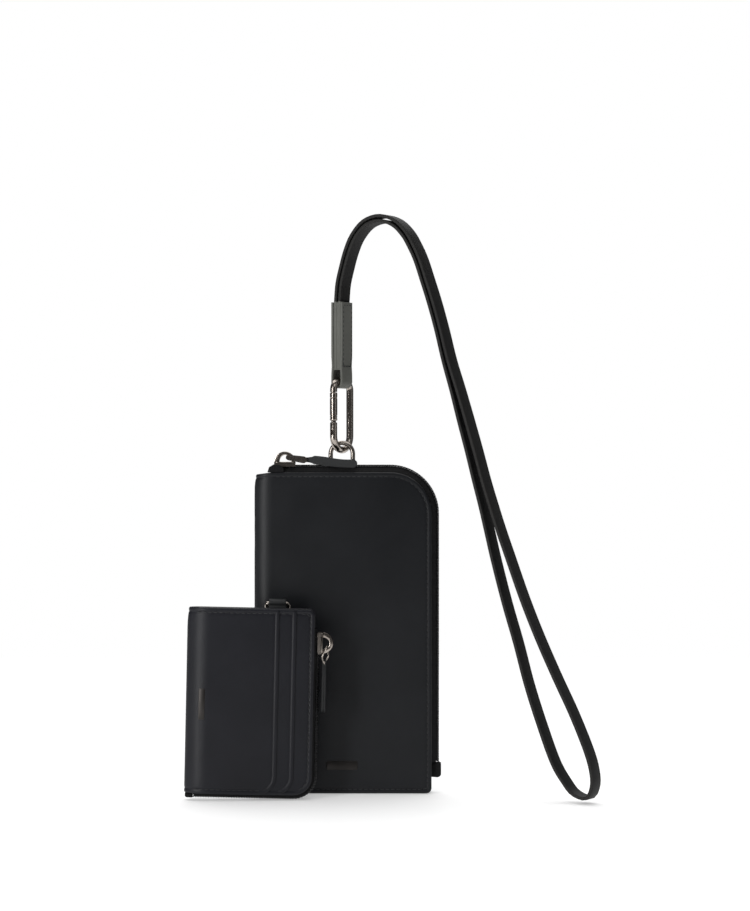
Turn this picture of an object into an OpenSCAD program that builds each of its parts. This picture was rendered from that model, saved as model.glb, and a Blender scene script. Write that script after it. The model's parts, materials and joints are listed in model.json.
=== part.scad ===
// Neck pouch wallet: a zipped phone pouch, a zipped card case, a clip and a flat neck strap.
// Origin: middle of the phone pouch's bottom edge. +X right, +Y to the back, +Z up. Millimetres.

/* [Phone pouch] */
// Width of the leather, from the folded edge to the zip side
pouch_w = 99; // [88:1:125]
// Height of the leather
pouch_h = 179; // [150:1:215]
// Thickness over both panels
pouch_t = 12; // [10:0.5:16]
// Leather thickness of the pouch
leather_t = 1.5; // [1:0.1:1.8]
// Radius of the corner that the zip runs around
pouch_corner_r = 23; // [14:1:32]
// Radius of the lower corner on the zip side
pouch_low_r = 3; // [1:0.5:6]
// Height at which the zip ends, above the bottom edge
zip_end_z = 17; // [14:1:30]
// Distance from the folded edge to the start of the zip
zip_start_in = 9.5; // [8:0.5:12]
// Lining thickness
lining_t = 0.5; // [0.3:0.1:0.6]
// Height of the slip pocket inside
inner_pocket_h = 105; // [70:1:130]

/* [Zips] */
// Thickness of the zip tape
tape_t = 0.6; // [0.4:0.1:0.8]
// Width of one coil
coil_w = 2; // [1.6:0.1:2.2]
// Height of a coil
coil_h = 1.8; // [1.5:0.1:2.2]
// Distance from the pouch leather out to the coil
pouch_coil_out = 2.6; // [2:0.1:4]
// Distance from the card case leather out to the coil
card_coil_out = 1; // [0.8:0.1:2]
// Length of a slider
slider_l = 12; // [10:0.5:13]
// Plate thickness of a slider
slider_plate_t = 1.2; // [1:0.1:1.5]
// Play between a slider's plates and the coil
slider_play = 0.3; // [0.25:0.05:0.4]
// Width of the bridge on a slider
bridge_w = 1.8; // [1.4:0.1:2]
// Length of a metal pull link, bar to pin
link_l = 8.4; // [7:0.1:11]
// Thickness of each cheek of a pull link
link_cheek_t = 1; // [0.8:0.1:1.2]
// Length of the pouch's leather pull
pouch_pull_l = 30; // [22:1:36]
// Height of the pouch's leather pull
pouch_pull_h = 4.4; // [3.6:0.1:5]
// Thickness of the pouch's leather pull
pouch_pull_t = 1.7; // [1.3:0.1:1.8]
// Length of the card case's leather pull
card_pull_l = 28; // [20:1:34]
// Width of the card case's leather pull
card_pull_w = 7; // [5:0.5:8]

/* [D-rings] */
// Wire diameter of the pouch ring
ring_wire_d = 2.6; // [2:0.1:2.8]
// Inside width of the pouch ring
ring_in_w = 9.9; // [9.4:0.1:12]
// Height of the straight legs of the pouch ring
ring_leg_h = 5.9; // [5:0.1:8]
// Distance of the pouch ring's bar behind the back panel
ring_back = 3.9; // [3.7:0.1:5]
// Wire diameter of the card case ring
card_ring_wire_d = 2.2; // [1.8:0.1:2.4]
// Inside width of the card case ring
card_ring_in_w = 9.9; // [9.4:0.1:12]
// Radial play of a ring's bar in its leather loop
ring_play = 0.15; // [0.1:0.05:0.25]
// Thickness of the loop leather
loop_t = 1.2; // [0.9:0.1:1.4]
// Play on each side of a loop, inside its ring
loop_side_play = 0.4; // [0.3:0.05:0.6]

/* [Clip] */
// Bar diameter of the clip
clip_bar_d = 4; // [3.4:0.1:4.2]
// Play between the clip's lower bend and the ring's arch
clip_ring_play = 0.75; // [0.6:0.05:1]
// Outside width of the clip
clip_w = 20; // [18:0.5:24]
// Outside length of the clip
clip_l = 42.6; // [40:0.2:54]
// Radius of the two upper corners of the clip, to the bar's middle
clip_top_r = 5; // [4:0.5:5.5]
// Turn of the clip about the upright axis
clip_turn = 56; // [40:1:70]
// Gate diameter
gate_d = 4.2; // [3.6:0.1:4.4]
// Hinge pin diameter of the gate
gate_pin_d = 1.3; // [1:0.1:1.5]
// Radial play of the gate on its pin
gate_pin_play = 0.05; // [0.03:0.01:0.08]
// Tongue thickness at the foot of the gate
gate_tongue_t = 1.4; // [1:0.1:1.6]
// Play on each side of the gate's tongue
tongue_play = 0.2; // [0.15:0.05:0.3]

/* [Strap] */
// Width of the sleeve
sleeve_w = 10.4; // [8:0.2:11]
// Thickness of the sleeve
sleeve_t = 7.8; // [7.6:0.1:9]
// Height of the sleeve above the clip's top bar
sleeve_h = 44.9; // [30:0.1:44.9]
// Play between the sleeve's loop and the clip's bar
sleeve_play = 0.9; // [0.6:0.1:1.1]
// Width of the neck strap
strap_w = 9.5; // [7:0.5:10]
// Thickness of the neck strap
strap_t = 1.9; // [1.4:0.1:2.2]

/* [Card case] */
// Width of the leather, from the folded edge to the zip side
card_w = 70; // [66:1:74]
// Height of the leather
card_h = 101.5; // [96:0.5:110]
// Thickness between the two outer faces of the base panels
card_t = 10; // [9:0.5:12]
// Leather thickness of the card case
card_leather_t = 1.1; // [0.8:0.1:1.3]
// Thickness of each card slot panel
slot_t = 0.9; // [0.6:0.1:1.1]
// Width of the outermost slot panel
slot_outer_w = 50.7; // [46:0.1:54]
// Width of the slot panel beneath it
slot_middle_w = 60; // [56:0.5:62]
// Radius of the corner that its zip runs around
card_corner_r = 10; // [9:0.5:14]
// Radius of its upper corner on the zip side
card_top_r = 3.5; // [1:0.5:5]
// Distance of the case's middle in front of the pouch's middle
card_front = 25; // [24:1:40]
// Place of the card case's folded edge
card_left_x = -86.9; // [-110:0.1:-84]
// Lean of the card case to the right
card_lean = 1.2; // [0:0.1:2]

/* [Hidden] */
$fn = 64;
join = 0.01;
pouch_in_y = pouch_t / 2 - leather_t;
card_in_y = card_t / 2 - card_leather_t;
coil_gap = 0.1;
coil_side = coil_gap + coil_w;
tape_tuck = 7;
lining_inset = tape_tuck + 0.5;
bottom_seam_h = 2.5;
start_fold_t = leather_t - 0.2;
zip_start_x = -pouch_w / 2 + zip_start_in;
// The pouch opens about the line from the start of the zip to its end
fold_top = [zip_start_x - 4, pouch_h];
fold_low = [pouch_w / 2, zip_end_z - 5];
fold_dir = (fold_low - fold_top) / norm(fold_low - fold_top);
fold_side = [-fold_dir[1], fold_dir[0]];
fold_gap = 0.3;
// Sliders: u is the distance out from the leather's edge
bridge_r = slider_l / 2;
bridge_in_r = bridge_r - 1.9;
link_bar_d = 1.4;
link_side_gap = 0.3;
link_in_y = bridge_w / 2 + link_side_gap;
link_end_r = 1.5;
link_pin_d = 1.2;
link_bar_u = slider_plate_t + 2.4;
pouch_slider_x = zip_start_x + slider_l / 2 + 1.5;
slider_top_u = coil_h + slider_play;
// The closed coil begins behind the slider's post
post_l = 2.6;
post_in = 0.6;
coil_from_end = post_in + post_l + 0.2;
pouch_coil_start = pouch_slider_x - slider_l / 2 + coil_from_end;
// Place of the pull's pin, along the zip and out from the top of the slider's plate
link_drop = 1.3;
link_bar_x = 2.1;
link_pin_x = link_bar_x + sqrt(link_l * link_l - link_drop * link_drop);
// Pouch ring and clip
ring_r = (ring_in_w + ring_wire_d) / 2;
loop_in_r = ring_wire_d / 2 + ring_play;
ring_x = -0.8;
ring_y = pouch_t / 2 + ring_back;
ring_z = pouch_h + 4.4;
ring_arch_z = ring_z + ring_leg_h;
clip_r = (clip_w - clip_bar_d) / 2;
clip_low_z = ring_arch_z + ring_in_w / 2 - clip_ring_play - clip_bar_d;
clip_low_c = clip_low_z + clip_bar_d / 2 + clip_r;
clip_top_z = clip_low_z + clip_l - clip_bar_d / 2;
clip_top_c = clip_top_z - clip_top_r;
gate_pin_z = clip_low_c + 3.9;
fork_top_z = gate_pin_z + 3.6;
gate_low_z = fork_top_z + 0.8;
gate_top_z = clip_top_c - 1.3;
nose_z = gate_top_z + 0.3;
nose_tongue_t = 1.2;
fork_slot_t = gate_tongue_t + 2 * tongue_play;
fork_floor_z = clip_low_c + 0.4;
sleeve_hole_d = clip_bar_d + 2 * sleeve_play;
sleeve_top_z = clip_top_z + sleeve_h;
// Card case: u from its folded edge, v up from the leather's lower edge
card_foot = card_coil_out + coil_h;
// Height that sets the leaning case's lowest coil on the floor
card_lift = (card_corner_r + card_foot + (card_w - card_corner_r) * sin(card_lean)) / cos(card_lean) - card_corner_r;
card_slider_v = 83.2;
card_zip_top_v = 91;
card_coil_top = card_slider_v + slider_l / 2 - coil_from_end;
card_zip_left_u = 5;
card_ring_u = 48.9;
card_ring_v = card_h + 2.4;
card_ring_r = (card_ring_in_w + card_ring_wire_d) / 2;
card_ring_leg = 4;
card_loop_in_r = card_ring_wire_d / 2 + ring_play;
card_ring_y = card_t / 2 + 1.7;
card_ring_tilt = 25;
// Route of the strap: the middle of its two strands, then half the gap from strand to strand
strap_pair = [
    [0, 9.5, 285, 1.4], [2, 8, 294, 1.4], [4.5, 6, 303, 1.4], [8, 3, 311, 1.4], [14, -0.5, 318, 1.4],
    [22, -4, 320.5, 1.4], [30, -6.5, 318, 1.4], [36, -8.5, 312, 1.4], [40, -9.5, 305, 1.4],
    [43.5, -10.5, 297, 1.4], [47, -12, 286, 1.4], [51, -13, 273, 1.4], [55, -14.5, 258, 1.4],
    [59, -16, 241, 1.5], [63.5, -17.5, 225, 1.8], [68, -19, 208, 2.2], [72.5, -20.5, 191, 2.4],
    [76.5, -22, 175, 2.6], [80, -23.5, 162, 2.9], [84, -25, 147, 3.6], [88.5, -26, 131, 4.6],
    [95, -28.5, 109, 5.7], [102, -30.5, 88, 6.9], [109.5, -32.5, 66, 9], [117.5, -34.5, 45, 10.6],
    [125, -36.5, 25, 11], [129.5, -37.5, 14, 9.2], [132, -38.5, 7, 6.2]];
strap_foot = [134, -39, 3];
strap_half_start = 1.4;
turn_dir = [cos(clip_turn), sin(clip_turn), 0];

function unit(v) = v / norm(v);
function clamp_i(p, i) = p[max(0, min(i, len(p) - 1))];
function heading(p, i) = unit(clamp_i(p, i + 1) - clamp_i(p, i - 1));
function across(t) = unit(turn_dir - (turn_dir * t) * t);
function inward(t) = unit(cross(across(t), t));

// ---------- shared shapes ----------
// A plate standing in the XZ plane, between two depths
module slab(y0, y1) translate([0, y1, 0]) rotate([90, 0, 0]) linear_extrude(y1 - y0) children();

// Takes the corner off an outline, centred on the corner's arc
module corner_off(r) difference() {
    square(r + 1);
    circle(r);
}

module pouch_outline(inset = 0) difference() {
    translate([-pouch_w / 2, 0]) square([pouch_w - inset, pouch_h - inset]);
    translate([pouch_w / 2 - pouch_corner_r, pouch_h - pouch_corner_r]) corner_off(pouch_corner_r - inset);
    translate([pouch_w / 2 - inset - pouch_low_r, pouch_low_r]) mirror([0, 1]) corner_off(pouch_low_r);
}

module card_outline(w, inset = 0) difference() {
    translate([0, inset]) square([w - inset, card_h - inset]);
    translate([w - card_corner_r, card_corner_r]) mirror([0, 1]) corner_off(card_corner_r - inset);
    translate([w - inset - card_top_r, card_h - card_top_r]) corner_off(card_top_r);
}

// The folded wrap seen from above: two panels joined by a round edge on the left
module folded_section(w, t, leather) difference() {
    union() {
        translate([t / 2, -t / 2]) square([w - t / 2, t]);
        translate([t / 2, 0]) circle(t / 2);
    }
    translate([t / 2, leather - t / 2]) square([w, t - 2 * leather]);
    translate([t / 2, 0]) circle(t / 2 - leather);
}

// Everything on the zip side of the fold line
module beyond_fold(gap) {
    shift = fold_side * gap / 2;
    a = fold_top - fold_dir * 40 + shift;
    b = fold_low + fold_dir * 40 + shift;
    polygon([a, b, b + fold_side * 300, a + fold_side * 300]);
}

// Sweeps a section (u outward, y deep) along a top run, a corner and a side run
module zip_run(top_l, r, side_l) {
    translate([0, 0, r]) rotate([0, -90, 0]) linear_extrude(top_l) children();
    rotate([90, 0, 0]) rotate_extrude(angle = 90) translate([r, 0]) mirror([0, 1]) children();
    translate([r, 0, -side_l]) linear_extrude(side_l) children();
}

module tape_section(in_y, coil_out) polygon([[-tape_tuck, -in_y], [0.2, -in_y], [coil_out, -coil_side],
    [coil_out, -coil_side + tape_t], [0, tape_t - in_y], [-tape_tuck, tape_t - in_y]]);

module coil_section(coil_out) translate([coil_out, -coil_side]) square([coil_h, coil_w]);

module pouch_zip_path(start_x) translate([pouch_w / 2 - pouch_corner_r, 0, pouch_h - pouch_corner_r])
    zip_run(pouch_w / 2 - pouch_corner_r - start_x, pouch_corner_r, pouch_h - pouch_corner_r - zip_end_z)
        children();

module card_zip_path(top_v) translate([card_w - card_corner_r, 0, card_corner_r]) mirror([0, 0, 1])
    zip_run(card_w - card_corner_r - card_zip_left_u, card_corner_r, top_v - card_corner_r) children();

// ---------- slider, link and ring, in their own frames ----------
// Slider: travels along +X, its coil from z = 0 to coil_h, its top plate above
module slider_body(low_gap) {
    flange_in = coil_side + slider_play;
    top_half = flange_in + 1.3;
    // top plate with its two side flanges
    translate([-slider_l / 2, -top_half, slider_top_u]) cube([slider_l, 2 * top_half, slider_plate_t]);
    for (side = [0, 1]) mirror([0, side, 0])
        translate([0.2 - slider_l / 2, flange_in, coil_h - 0.9])
            cube([slider_l - 0.4, top_half - flange_in, slider_top_u - coil_h + 0.9 + join]);
    // post that joins the two plates, ahead of the closed coil
    translate([post_in - slider_l / 2, -0.9, -low_gap]) cube([post_l, 1.8, slider_top_u + low_gap + join]);
    // lower plate
    translate([post_in - slider_l / 2, -1.1, -low_gap - 0.5]) cube([slider_l - 2 * post_in, 2.2, 0.5 + join]);
}

module slider_bridge() translate([0, 0, slider_top_u + slider_plate_t]) rotate([90, 0, 0])
    translate([0, 0, -bridge_w / 2]) difference() {
        cylinder(r = bridge_r, h = bridge_w);
        translate([0, 0, -1]) cylinder(r = bridge_in_r, h = bridge_w + 2);
        translate([-20, -40, -1]) cube([40, 40, bridge_w + 2]);
    }

// The bar's middle is at the origin, and the pin's is at [link_l, 0, 0]
module pull_link() {
    rotate([90, 0, 0]) translate([0, 0, -link_in_y - join])
        cylinder(d = link_bar_d, h = 2 * (link_in_y + join));
    for (side = [0, 1]) mirror([0, side, 0]) difference() {
        translate([0, link_in_y + link_cheek_t, 0]) rotate([90, 0, 0]) linear_extrude(link_cheek_t) {
            circle(link_bar_d / 2 + 0.5);
            translate([0, -link_bar_d / 2 - 0.5]) square([link_l, link_bar_d + 1]);
            translate([link_l, 0]) circle(link_end_r);
        }
        translate([link_l, 10, 0]) rotate([90, 0, 0]) cylinder(d = link_pin_d, h = 20);
    }
}

module pull_pin() translate([link_l, link_in_y + link_cheek_t, 0]) rotate([90, 0, 0])
    cylinder(d = link_pin_d, h = 2 * (link_in_y + link_cheek_t));

// Leather pull: a round eye on the pin, a neck and a long round-ended blade
module pull_blade(l, w, t) difference() {
    union() {
        rotate([90, 0, 0]) translate([0, 0, -t / 2]) cylinder(r = 1.3, h = t);
        translate([0, -t / 2, -1.1]) cube([4.5, t, 2.2]);
        translate([4, -t / 2, -w / 2]) cube([l - 4 - w / 2, t, w]);
        translate([l - w / 2, t / 2, 0]) rotate([90, 0, 0]) cylinder(d = w, h = t);
    }
    translate([0, 10, 0]) rotate([90, 0, 0]) cylinder(d = link_pin_d + 0.1, h = 20);
}

// D-ring: straight bar along X through the origin, arch upward
module d_ring(r, leg, wire) {
    translate([-r, 0, 0]) rotate([0, 90, 0]) cylinder(d = wire, h = 2 * r);
    for (side = [-1, 1]) translate([side * r, 0, 0]) {
        sphere(d = wire);
        cylinder(d = wire, h = leg);
    }
    translate([0, 0, leg]) rotate([90, 0, 0]) rotate_extrude(angle = 180) translate([r, 0]) circle(d = wire);
}

// Leather loop around a ring's bar; its two stems lie flat on the panel behind it
module ring_loop(w, in_r, bar_y, face_y, stem) rotate([90, 0, 90]) translate([0, 0, -w / 2])
    linear_extrude(w) difference() {
        union() {
            translate([bar_y, 0]) circle(in_r + loop_t);
            translate([face_y, -stem]) square([2 * loop_t, stem]);
            translate([face_y + loop_t, -loop_t]) square([bar_y - face_y - loop_t, loop_t * 2]);
        }
        translate([bar_y, 0]) circle(in_r);
    }

// ---------- phone pouch ----------
module pouch_shell() color("#232426") {
    difference() {
        intersection() {
            translate([-pouch_w / 2, 0, 0]) linear_extrude(pouch_h) folded_section(pouch_w, pouch_t, leather_t);
            slab(-pouch_t, pouch_t) pouch_outline();
        }
        slab(-pouch_t, join - pouch_in_y) beyond_fold(-fold_gap);
    }
    // closed seam along the bottom and at the foot of the zip side
    translate([pouch_t / 2 - pouch_w / 2, -pouch_in_y - join, 0])
        cube([pouch_w - pouch_t / 2 - pouch_low_r, 2 * (pouch_in_y + join), bottom_seam_h]);
    translate([pouch_w / 2 - 2.5, -pouch_in_y - join, pouch_low_r])
        cube([2.5, 2 * (pouch_in_y + join), zip_end_z - 10]);
}

module front_piece(y0, t, inset) slab(y0, y0 + t) intersection() {
    pouch_outline(inset);
    beyond_fold(fold_gap);
}

module pouch_front_flap() color("#232426") front_piece(-pouch_t / 2, leather_t, 0);

module pouch_lining_flap() color("#1d1e22") front_piece(-pouch_in_y, lining_t, lining_inset);

module pouch_lining_front() color("#1d1e22") slab(-pouch_in_y, lining_t - pouch_in_y) difference() {
    intersection() {
        pouch_outline(lining_inset);
        translate([pouch_t / 2 - pouch_w / 2, bottom_seam_h]) square([pouch_w, pouch_h]);
    }
    beyond_fold(-fold_gap);
}

module pouch_lining_back() color("#1d1e22") slab(pouch_in_y - lining_t, pouch_in_y) intersection() {
    pouch_outline(lining_inset);
    translate([pouch_t / 2 - pouch_w / 2, bottom_seam_h]) square([pouch_w, pouch_h]);
}

module pouch_inner_pocket() color("#26272a") {
    cloth_t = 0.8;
    seam_w = 3;
    pocket_y = pouch_in_y - lining_t - 2 * cloth_t;
    pocket_x = pouch_t / 2 + 1 - pouch_w / 2;
    pocket_w = pouch_w - pouch_t / 2 - 1 - lining_inset - 1;
    translate([pocket_x, pocket_y, bottom_seam_h + 0.5]) cube([pocket_w, cloth_t, inner_pocket_h]);
    for (x = [pocket_x, pocket_x + pocket_w - seam_w]) translate([x, pocket_y, bottom_seam_h + 0.5])
        cube([seam_w, 2 * cloth_t, inner_pocket_h]);
    translate([pocket_x, pocket_y, bottom_seam_h + 0.5]) cube([pocket_w, 2 * cloth_t, seam_w]);
}

module pouch_zip_tape_front() color("#141414") pouch_zip_path(zip_start_x) tape_section(pouch_in_y, pouch_coil_out);

module pouch_zip_tape_back() color("#141414") mirror([0, 1, 0]) pouch_zip_path(zip_start_x)
    tape_section(pouch_in_y, pouch_coil_out);

module pouch_zip_coil_front() color("#0c0c0c") pouch_zip_path(pouch_coil_start) coil_section(pouch_coil_out);

module pouch_zip_coil_back() color("#0c0c0c") mirror([0, 1, 0]) pouch_zip_path(pouch_coil_start) coil_section(pouch_coil_out);

// Folded end of a tape, beside the slider at the start of the zip
module zip_start_fold() translate([zip_start_x, -pouch_t / 2 + 0.1, pouch_h + 0.2]) rotate([90, 0, 0])
    mirror([0, 0, 1]) linear_extrude(start_fold_t) polygon([[-2, 0], [7, 0], [7, 2.4], [4.5, 4.2], [2, 4.2]]);

module pouch_zip_start_front() color("#141414") zip_start_fold();

module pouch_zip_start_back() color("#141414") mirror([0, 1, 0]) zip_start_fold();

module pouch_zip_end_tab() color("#1b1b1c") slab(-2.6, 2.6) difference() {
    translate([pouch_w / 2, zip_end_z - 8.5]) square([5.4, 8.2]);
    translate([pouch_w / 2 + 3.4, zip_end_z - 6.5]) mirror([0, 1]) corner_off(2);
}

module pouch_badge() color("#3d3b39") translate([-9.2, -pouch_t / 2 - 0.6, 13.3]) cube([17.4, 0.6, 4.9]);

module at_pouch_slider() translate([pouch_slider_x, 0, pouch_h + pouch_coil_out]) children();

module at_pouch_link() at_pouch_slider() translate([link_bar_x, 0, slider_top_u + link_bar_u])
    rotate([0, asin(link_drop / link_l), 0]) children();

module pouch_slider_body() color("#6b6560") at_pouch_slider() slider_body(1);

module pouch_slider_bridge() color("#6b6560") at_pouch_slider() slider_bridge();

module pouch_pull_link() color("#6b6560") at_pouch_link() pull_link();

module pouch_pull_pin() color("#57524e") at_pouch_link() pull_pin();

module pouch_pull_tab() color("#2b2c2e") at_pouch_slider()
    translate([link_pin_x, 0, slider_top_u + link_bar_u - link_drop])
        pull_blade(pouch_pull_l, pouch_pull_h, pouch_pull_t);

module pouch_ring_loop() color("#26272a") translate([ring_x, 0, ring_z])
    ring_loop(ring_in_w - 2 * loop_side_play, loop_in_r, ring_y, pouch_t / 2, 24);

module pouch_d_ring() color("#5a5550") translate([ring_x, ring_y, ring_z])
    d_ring(ring_r, ring_leg_h, ring_wire_d);

// ---------- clip ----------
// Clip frame of reference: X across its width, Y through it, Z up
module at_clip() translate([ring_x, ring_y, 0]) rotate([0, 0, clip_turn]) children();

module bar_quarter(r) rotate([90, 0, 0]) rotate_extrude(angle = 90) translate([r, 0]) circle(d = clip_bar_d);

module clip_frame() color("#5a5550") at_clip() difference() {
    union() {
        translate([0, 0, clip_low_c]) rotate([-90, 0, 0]) rotate_extrude(angle = 180)
            translate([clip_r, 0]) circle(d = clip_bar_d);
        translate([clip_r, 0, clip_low_c]) cylinder(d = clip_bar_d, h = clip_top_c - clip_low_c);
        translate([clip_r - clip_top_r, 0, clip_top_c]) bar_quarter(clip_top_r);
        translate([clip_top_r - clip_r, 0, clip_top_z]) rotate([0, 90, 0])
            cylinder(d = clip_bar_d, h = 2 * (clip_r - clip_top_r));
        translate([clip_top_r - clip_r, 0, clip_top_c]) mirror([1, 0, 0]) bar_quarter(clip_top_r);
        translate([-clip_r, 0, nose_z]) cylinder(d = clip_bar_d, h = clip_top_c - nose_z);
        translate([-clip_r, 0, clip_low_c]) cylinder(d = clip_bar_d, h = fork_top_z - clip_low_c);
        translate([-clip_r - 1.5, -nose_tongue_t / 2, nose_z - 2.4]) cube([2.5, nose_tongue_t, 3]);
    }
    translate([-clip_r - 5, -fork_slot_t / 2, fork_floor_z]) cube([9, fork_slot_t, fork_top_z - fork_floor_z + 1]);
    translate([-clip_r, 5, gate_pin_z]) rotate([90, 0, 0]) cylinder(d = gate_pin_d, h = 10);
}

module clip_gate() color("#5f5a55") at_clip() translate([-clip_r, 0, 0]) difference() {
    union() {
        translate([0, 0, gate_low_z]) cylinder(d = gate_d, h = gate_top_z - gate_low_z);
        translate([-1.5, -gate_tongue_t / 2, gate_pin_z]) cube([3, gate_tongue_t, gate_low_z - gate_pin_z + 1]);
        translate([0, gate_tongue_t / 2, gate_pin_z]) rotate([90, 0, 0]) cylinder(r = 1.5, h = gate_tongue_t);
    }
    translate([0, 5, gate_pin_z]) rotate([90, 0, 0]) cylinder(d = gate_pin_d + 2 * gate_pin_play, h = 10);
    translate([-5, -nose_tongue_t / 2 - 0.15, gate_top_z - 2.5]) cube([10, nose_tongue_t + 0.3, 5]);
}

module gate_pin() color("#7a746d") at_clip() translate([-clip_r, 1.9, gate_pin_z]) rotate([90, 0, 0])
    cylinder(d = gate_pin_d, h = 3.8);

module gate_spring() color("#8a847c") at_clip() translate([-clip_r, 0, fork_floor_z])
    cylinder(d = gate_tongue_t, h = 1.5);

// ---------- strap ----------
module strap_sleeve() color("#4a4b48") at_clip() difference() {
    union() {
        translate([-sleeve_w / 2, 0, clip_top_z]) rotate([0, 90, 0]) cylinder(d = sleeve_t, h = sleeve_w);
        translate([-sleeve_w / 2, -sleeve_t / 2, clip_top_z]) cube([sleeve_w, sleeve_t, sleeve_h]);
    }
    translate([-sleeve_w, 0, clip_top_z]) rotate([0, 90, 0]) cylinder(d = sleeve_hole_d, h = 2 * sleeve_w);
}

module neck_strap() color("#303030") {
    strap_start = [ring_x, ring_y, sleeve_top_z, strap_half_start];
    pair = concat([strap_start], strap_pair);
    middle = [for (p = pair) [p[0], p[1], p[2]]];
    side = [for (i = [0:len(pair) - 1]) i == 0 ? inward([0, 0, 1]) : inward(heading(middle, i))];
    inner = [for (i = [0:len(pair) - 1]) middle[i] + side[i] * pair[i][3]];
    outer = [for (i = [0:len(pair) - 1]) middle[i] - side[i] * pair[i][3]];
    route = concat(inner, [strap_foot], [for (i = [len(pair) - 1:-1:0]) outer[i]]);
    n = len(route);
    a = strap_w / 2;
    b = strap_t / 2;
    c = 0.5;
    section = [[a, c - b], [a, b - c], [a - c, b], [c - a, b], [-a, b - c], [-a, c - b], [c - a, -b], [a - c, -b]];
    points = [for (i = [0:n - 1])
        let (t = i == 0 ? [0, 0, 1] : i == n - 1 ? [0, 0, -1] : heading(route, i))
        for (s = section) route[i] + across(t) * s[0] + inward(t) * s[1]];
    walls = [for (i = [0:n - 2]) for (k = [0:7]) [8 * i + k, 8 * i + 8 + k, 8 * i + 8 + (k + 1) % 8, 8 * i + (k + 1) % 8]];
    polyhedron(points, concat([[for (k = [0:7]) k]], walls, [[for (k = [7:-1:0]) 8 * (n - 1) + k]]), convexity = 8);
}

// ---------- card case ----------
module at_card() translate([card_left_x, -card_front, 0]) rotate([0, card_lean, 0])
    translate([0, 0, card_lift]) children();

module card_shell() color("#1e1f23") at_card() {
    intersection() {
        linear_extrude(card_h) folded_section(card_w, card_t, card_leather_t);
        slab(-card_t, card_t) card_outline(card_w);
    }
    // seam along the top
    translate([card_t / 2, -card_in_y - join, card_h - 2])
        cube([card_w - card_t / 2 - card_top_r, 2 * (card_in_y + join), 2]);
}

module slot_panel(w, y0, left) slab(y0, y0 + slot_t) intersection() {
    card_outline(w);
    translate([left, 0]) square([card_w, card_h]);
}

module card_slot_middle() color("#202125") at_card() slot_panel(slot_middle_w, -card_t / 2 - slot_t, card_t / 2);

module card_slot_outer() color("#202125") at_card() slot_panel(slot_outer_w, -card_t / 2 - 2 * slot_t, card_t / 2);

module card_lining(y0) color("#1b1c20") slab(y0, y0 + lining_t) intersection() {
    card_outline(card_w, lining_inset);
    translate([card_t / 2, 0]) square([card_w, card_h - 2.5]);
}

module card_lining_front() at_card() card_lining(-card_in_y);

module card_lining_back() at_card() card_lining(card_in_y - lining_t);

module card_zip_tape_front() color("#141414") at_card() card_zip_path(card_zip_top_v) tape_section(card_in_y, card_coil_out);

module card_zip_tape_back() color("#141414") at_card() mirror([0, 1, 0]) card_zip_path(card_zip_top_v)
    tape_section(card_in_y, card_coil_out);

module card_zip_coil_front() color("#0c0c0c") at_card() card_zip_path(card_coil_top) coil_section(card_coil_out);

module card_zip_coil_back() color("#0c0c0c") at_card() mirror([0, 1, 0]) card_zip_path(card_coil_top)
    coil_section(card_coil_out);

module card_zip_end_tab() color("#1b1b1c") at_card() slab(-2.2, 2.2)
    translate([0.6, -card_coil_out - coil_h]) square([4.2, card_coil_out + coil_h - join]);

module card_badge() color("#2b2b2d") at_card() translate([6.6, -card_t / 2 - 2 * slot_t - 0.4, 40])
    cube([5, 0.4, 18]);

module at_card_slider() at_card() translate([card_w + card_coil_out, 0, card_slider_v]) rotate([0, 90, 0]) children();

module at_card_link() at_card_slider() translate([link_bar_x, 0, slider_top_u + link_bar_u])
    rotate([0, asin(link_drop / link_l), 0]) children();

module card_slider_body() color("#6b6560") at_card_slider() slider_body(0.1);

module card_slider_bridge() color("#6b6560") at_card_slider() slider_bridge();

module card_pull_link() color("#6b6560") at_card_link() pull_link();

module card_pull_pin() color("#57524e") at_card_link() pull_pin();

// The card case's pull hangs with its edge outward: a fork-thin eye, then a wide blade
module card_pull_tab() color("#26272a") at_card_slider()
    translate([link_pin_x, 0, slider_top_u + link_bar_u - link_drop]) difference() {
        union() {
            rotate([90, 0, 0]) translate([0, 0, -pouch_pull_t / 2]) cylinder(r = 1.3, h = pouch_pull_t);
            translate([0, -pouch_pull_t / 2, -1.2]) cube([5, pouch_pull_t, 2.4]);
            translate([4, -card_pull_w / 2, -1.2]) cube([card_pull_l - 4 - card_pull_w / 2, card_pull_w, 2.4]);
            translate([card_pull_l - card_pull_w / 2, 0, -1.2]) cylinder(d = card_pull_w, h = 2.4);
        }
        translate([0, 10, 0]) rotate([90, 0, 0]) cylinder(d = link_pin_d + 0.1, h = 20);
    }

module card_ring_loop() color("#26272a") at_card() translate([card_ring_u, 0, card_ring_v])
    ring_loop(card_ring_in_w - 2 * loop_side_play, card_loop_in_r, card_ring_y, card_t / 2, 9);

module card_d_ring() color("#6b6560") at_card() translate([card_ring_u, card_ring_y, card_ring_v])
    rotate([card_ring_tilt - 180, 0, 0]) d_ring(card_ring_r, card_ring_leg, card_ring_wire_d);

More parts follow.
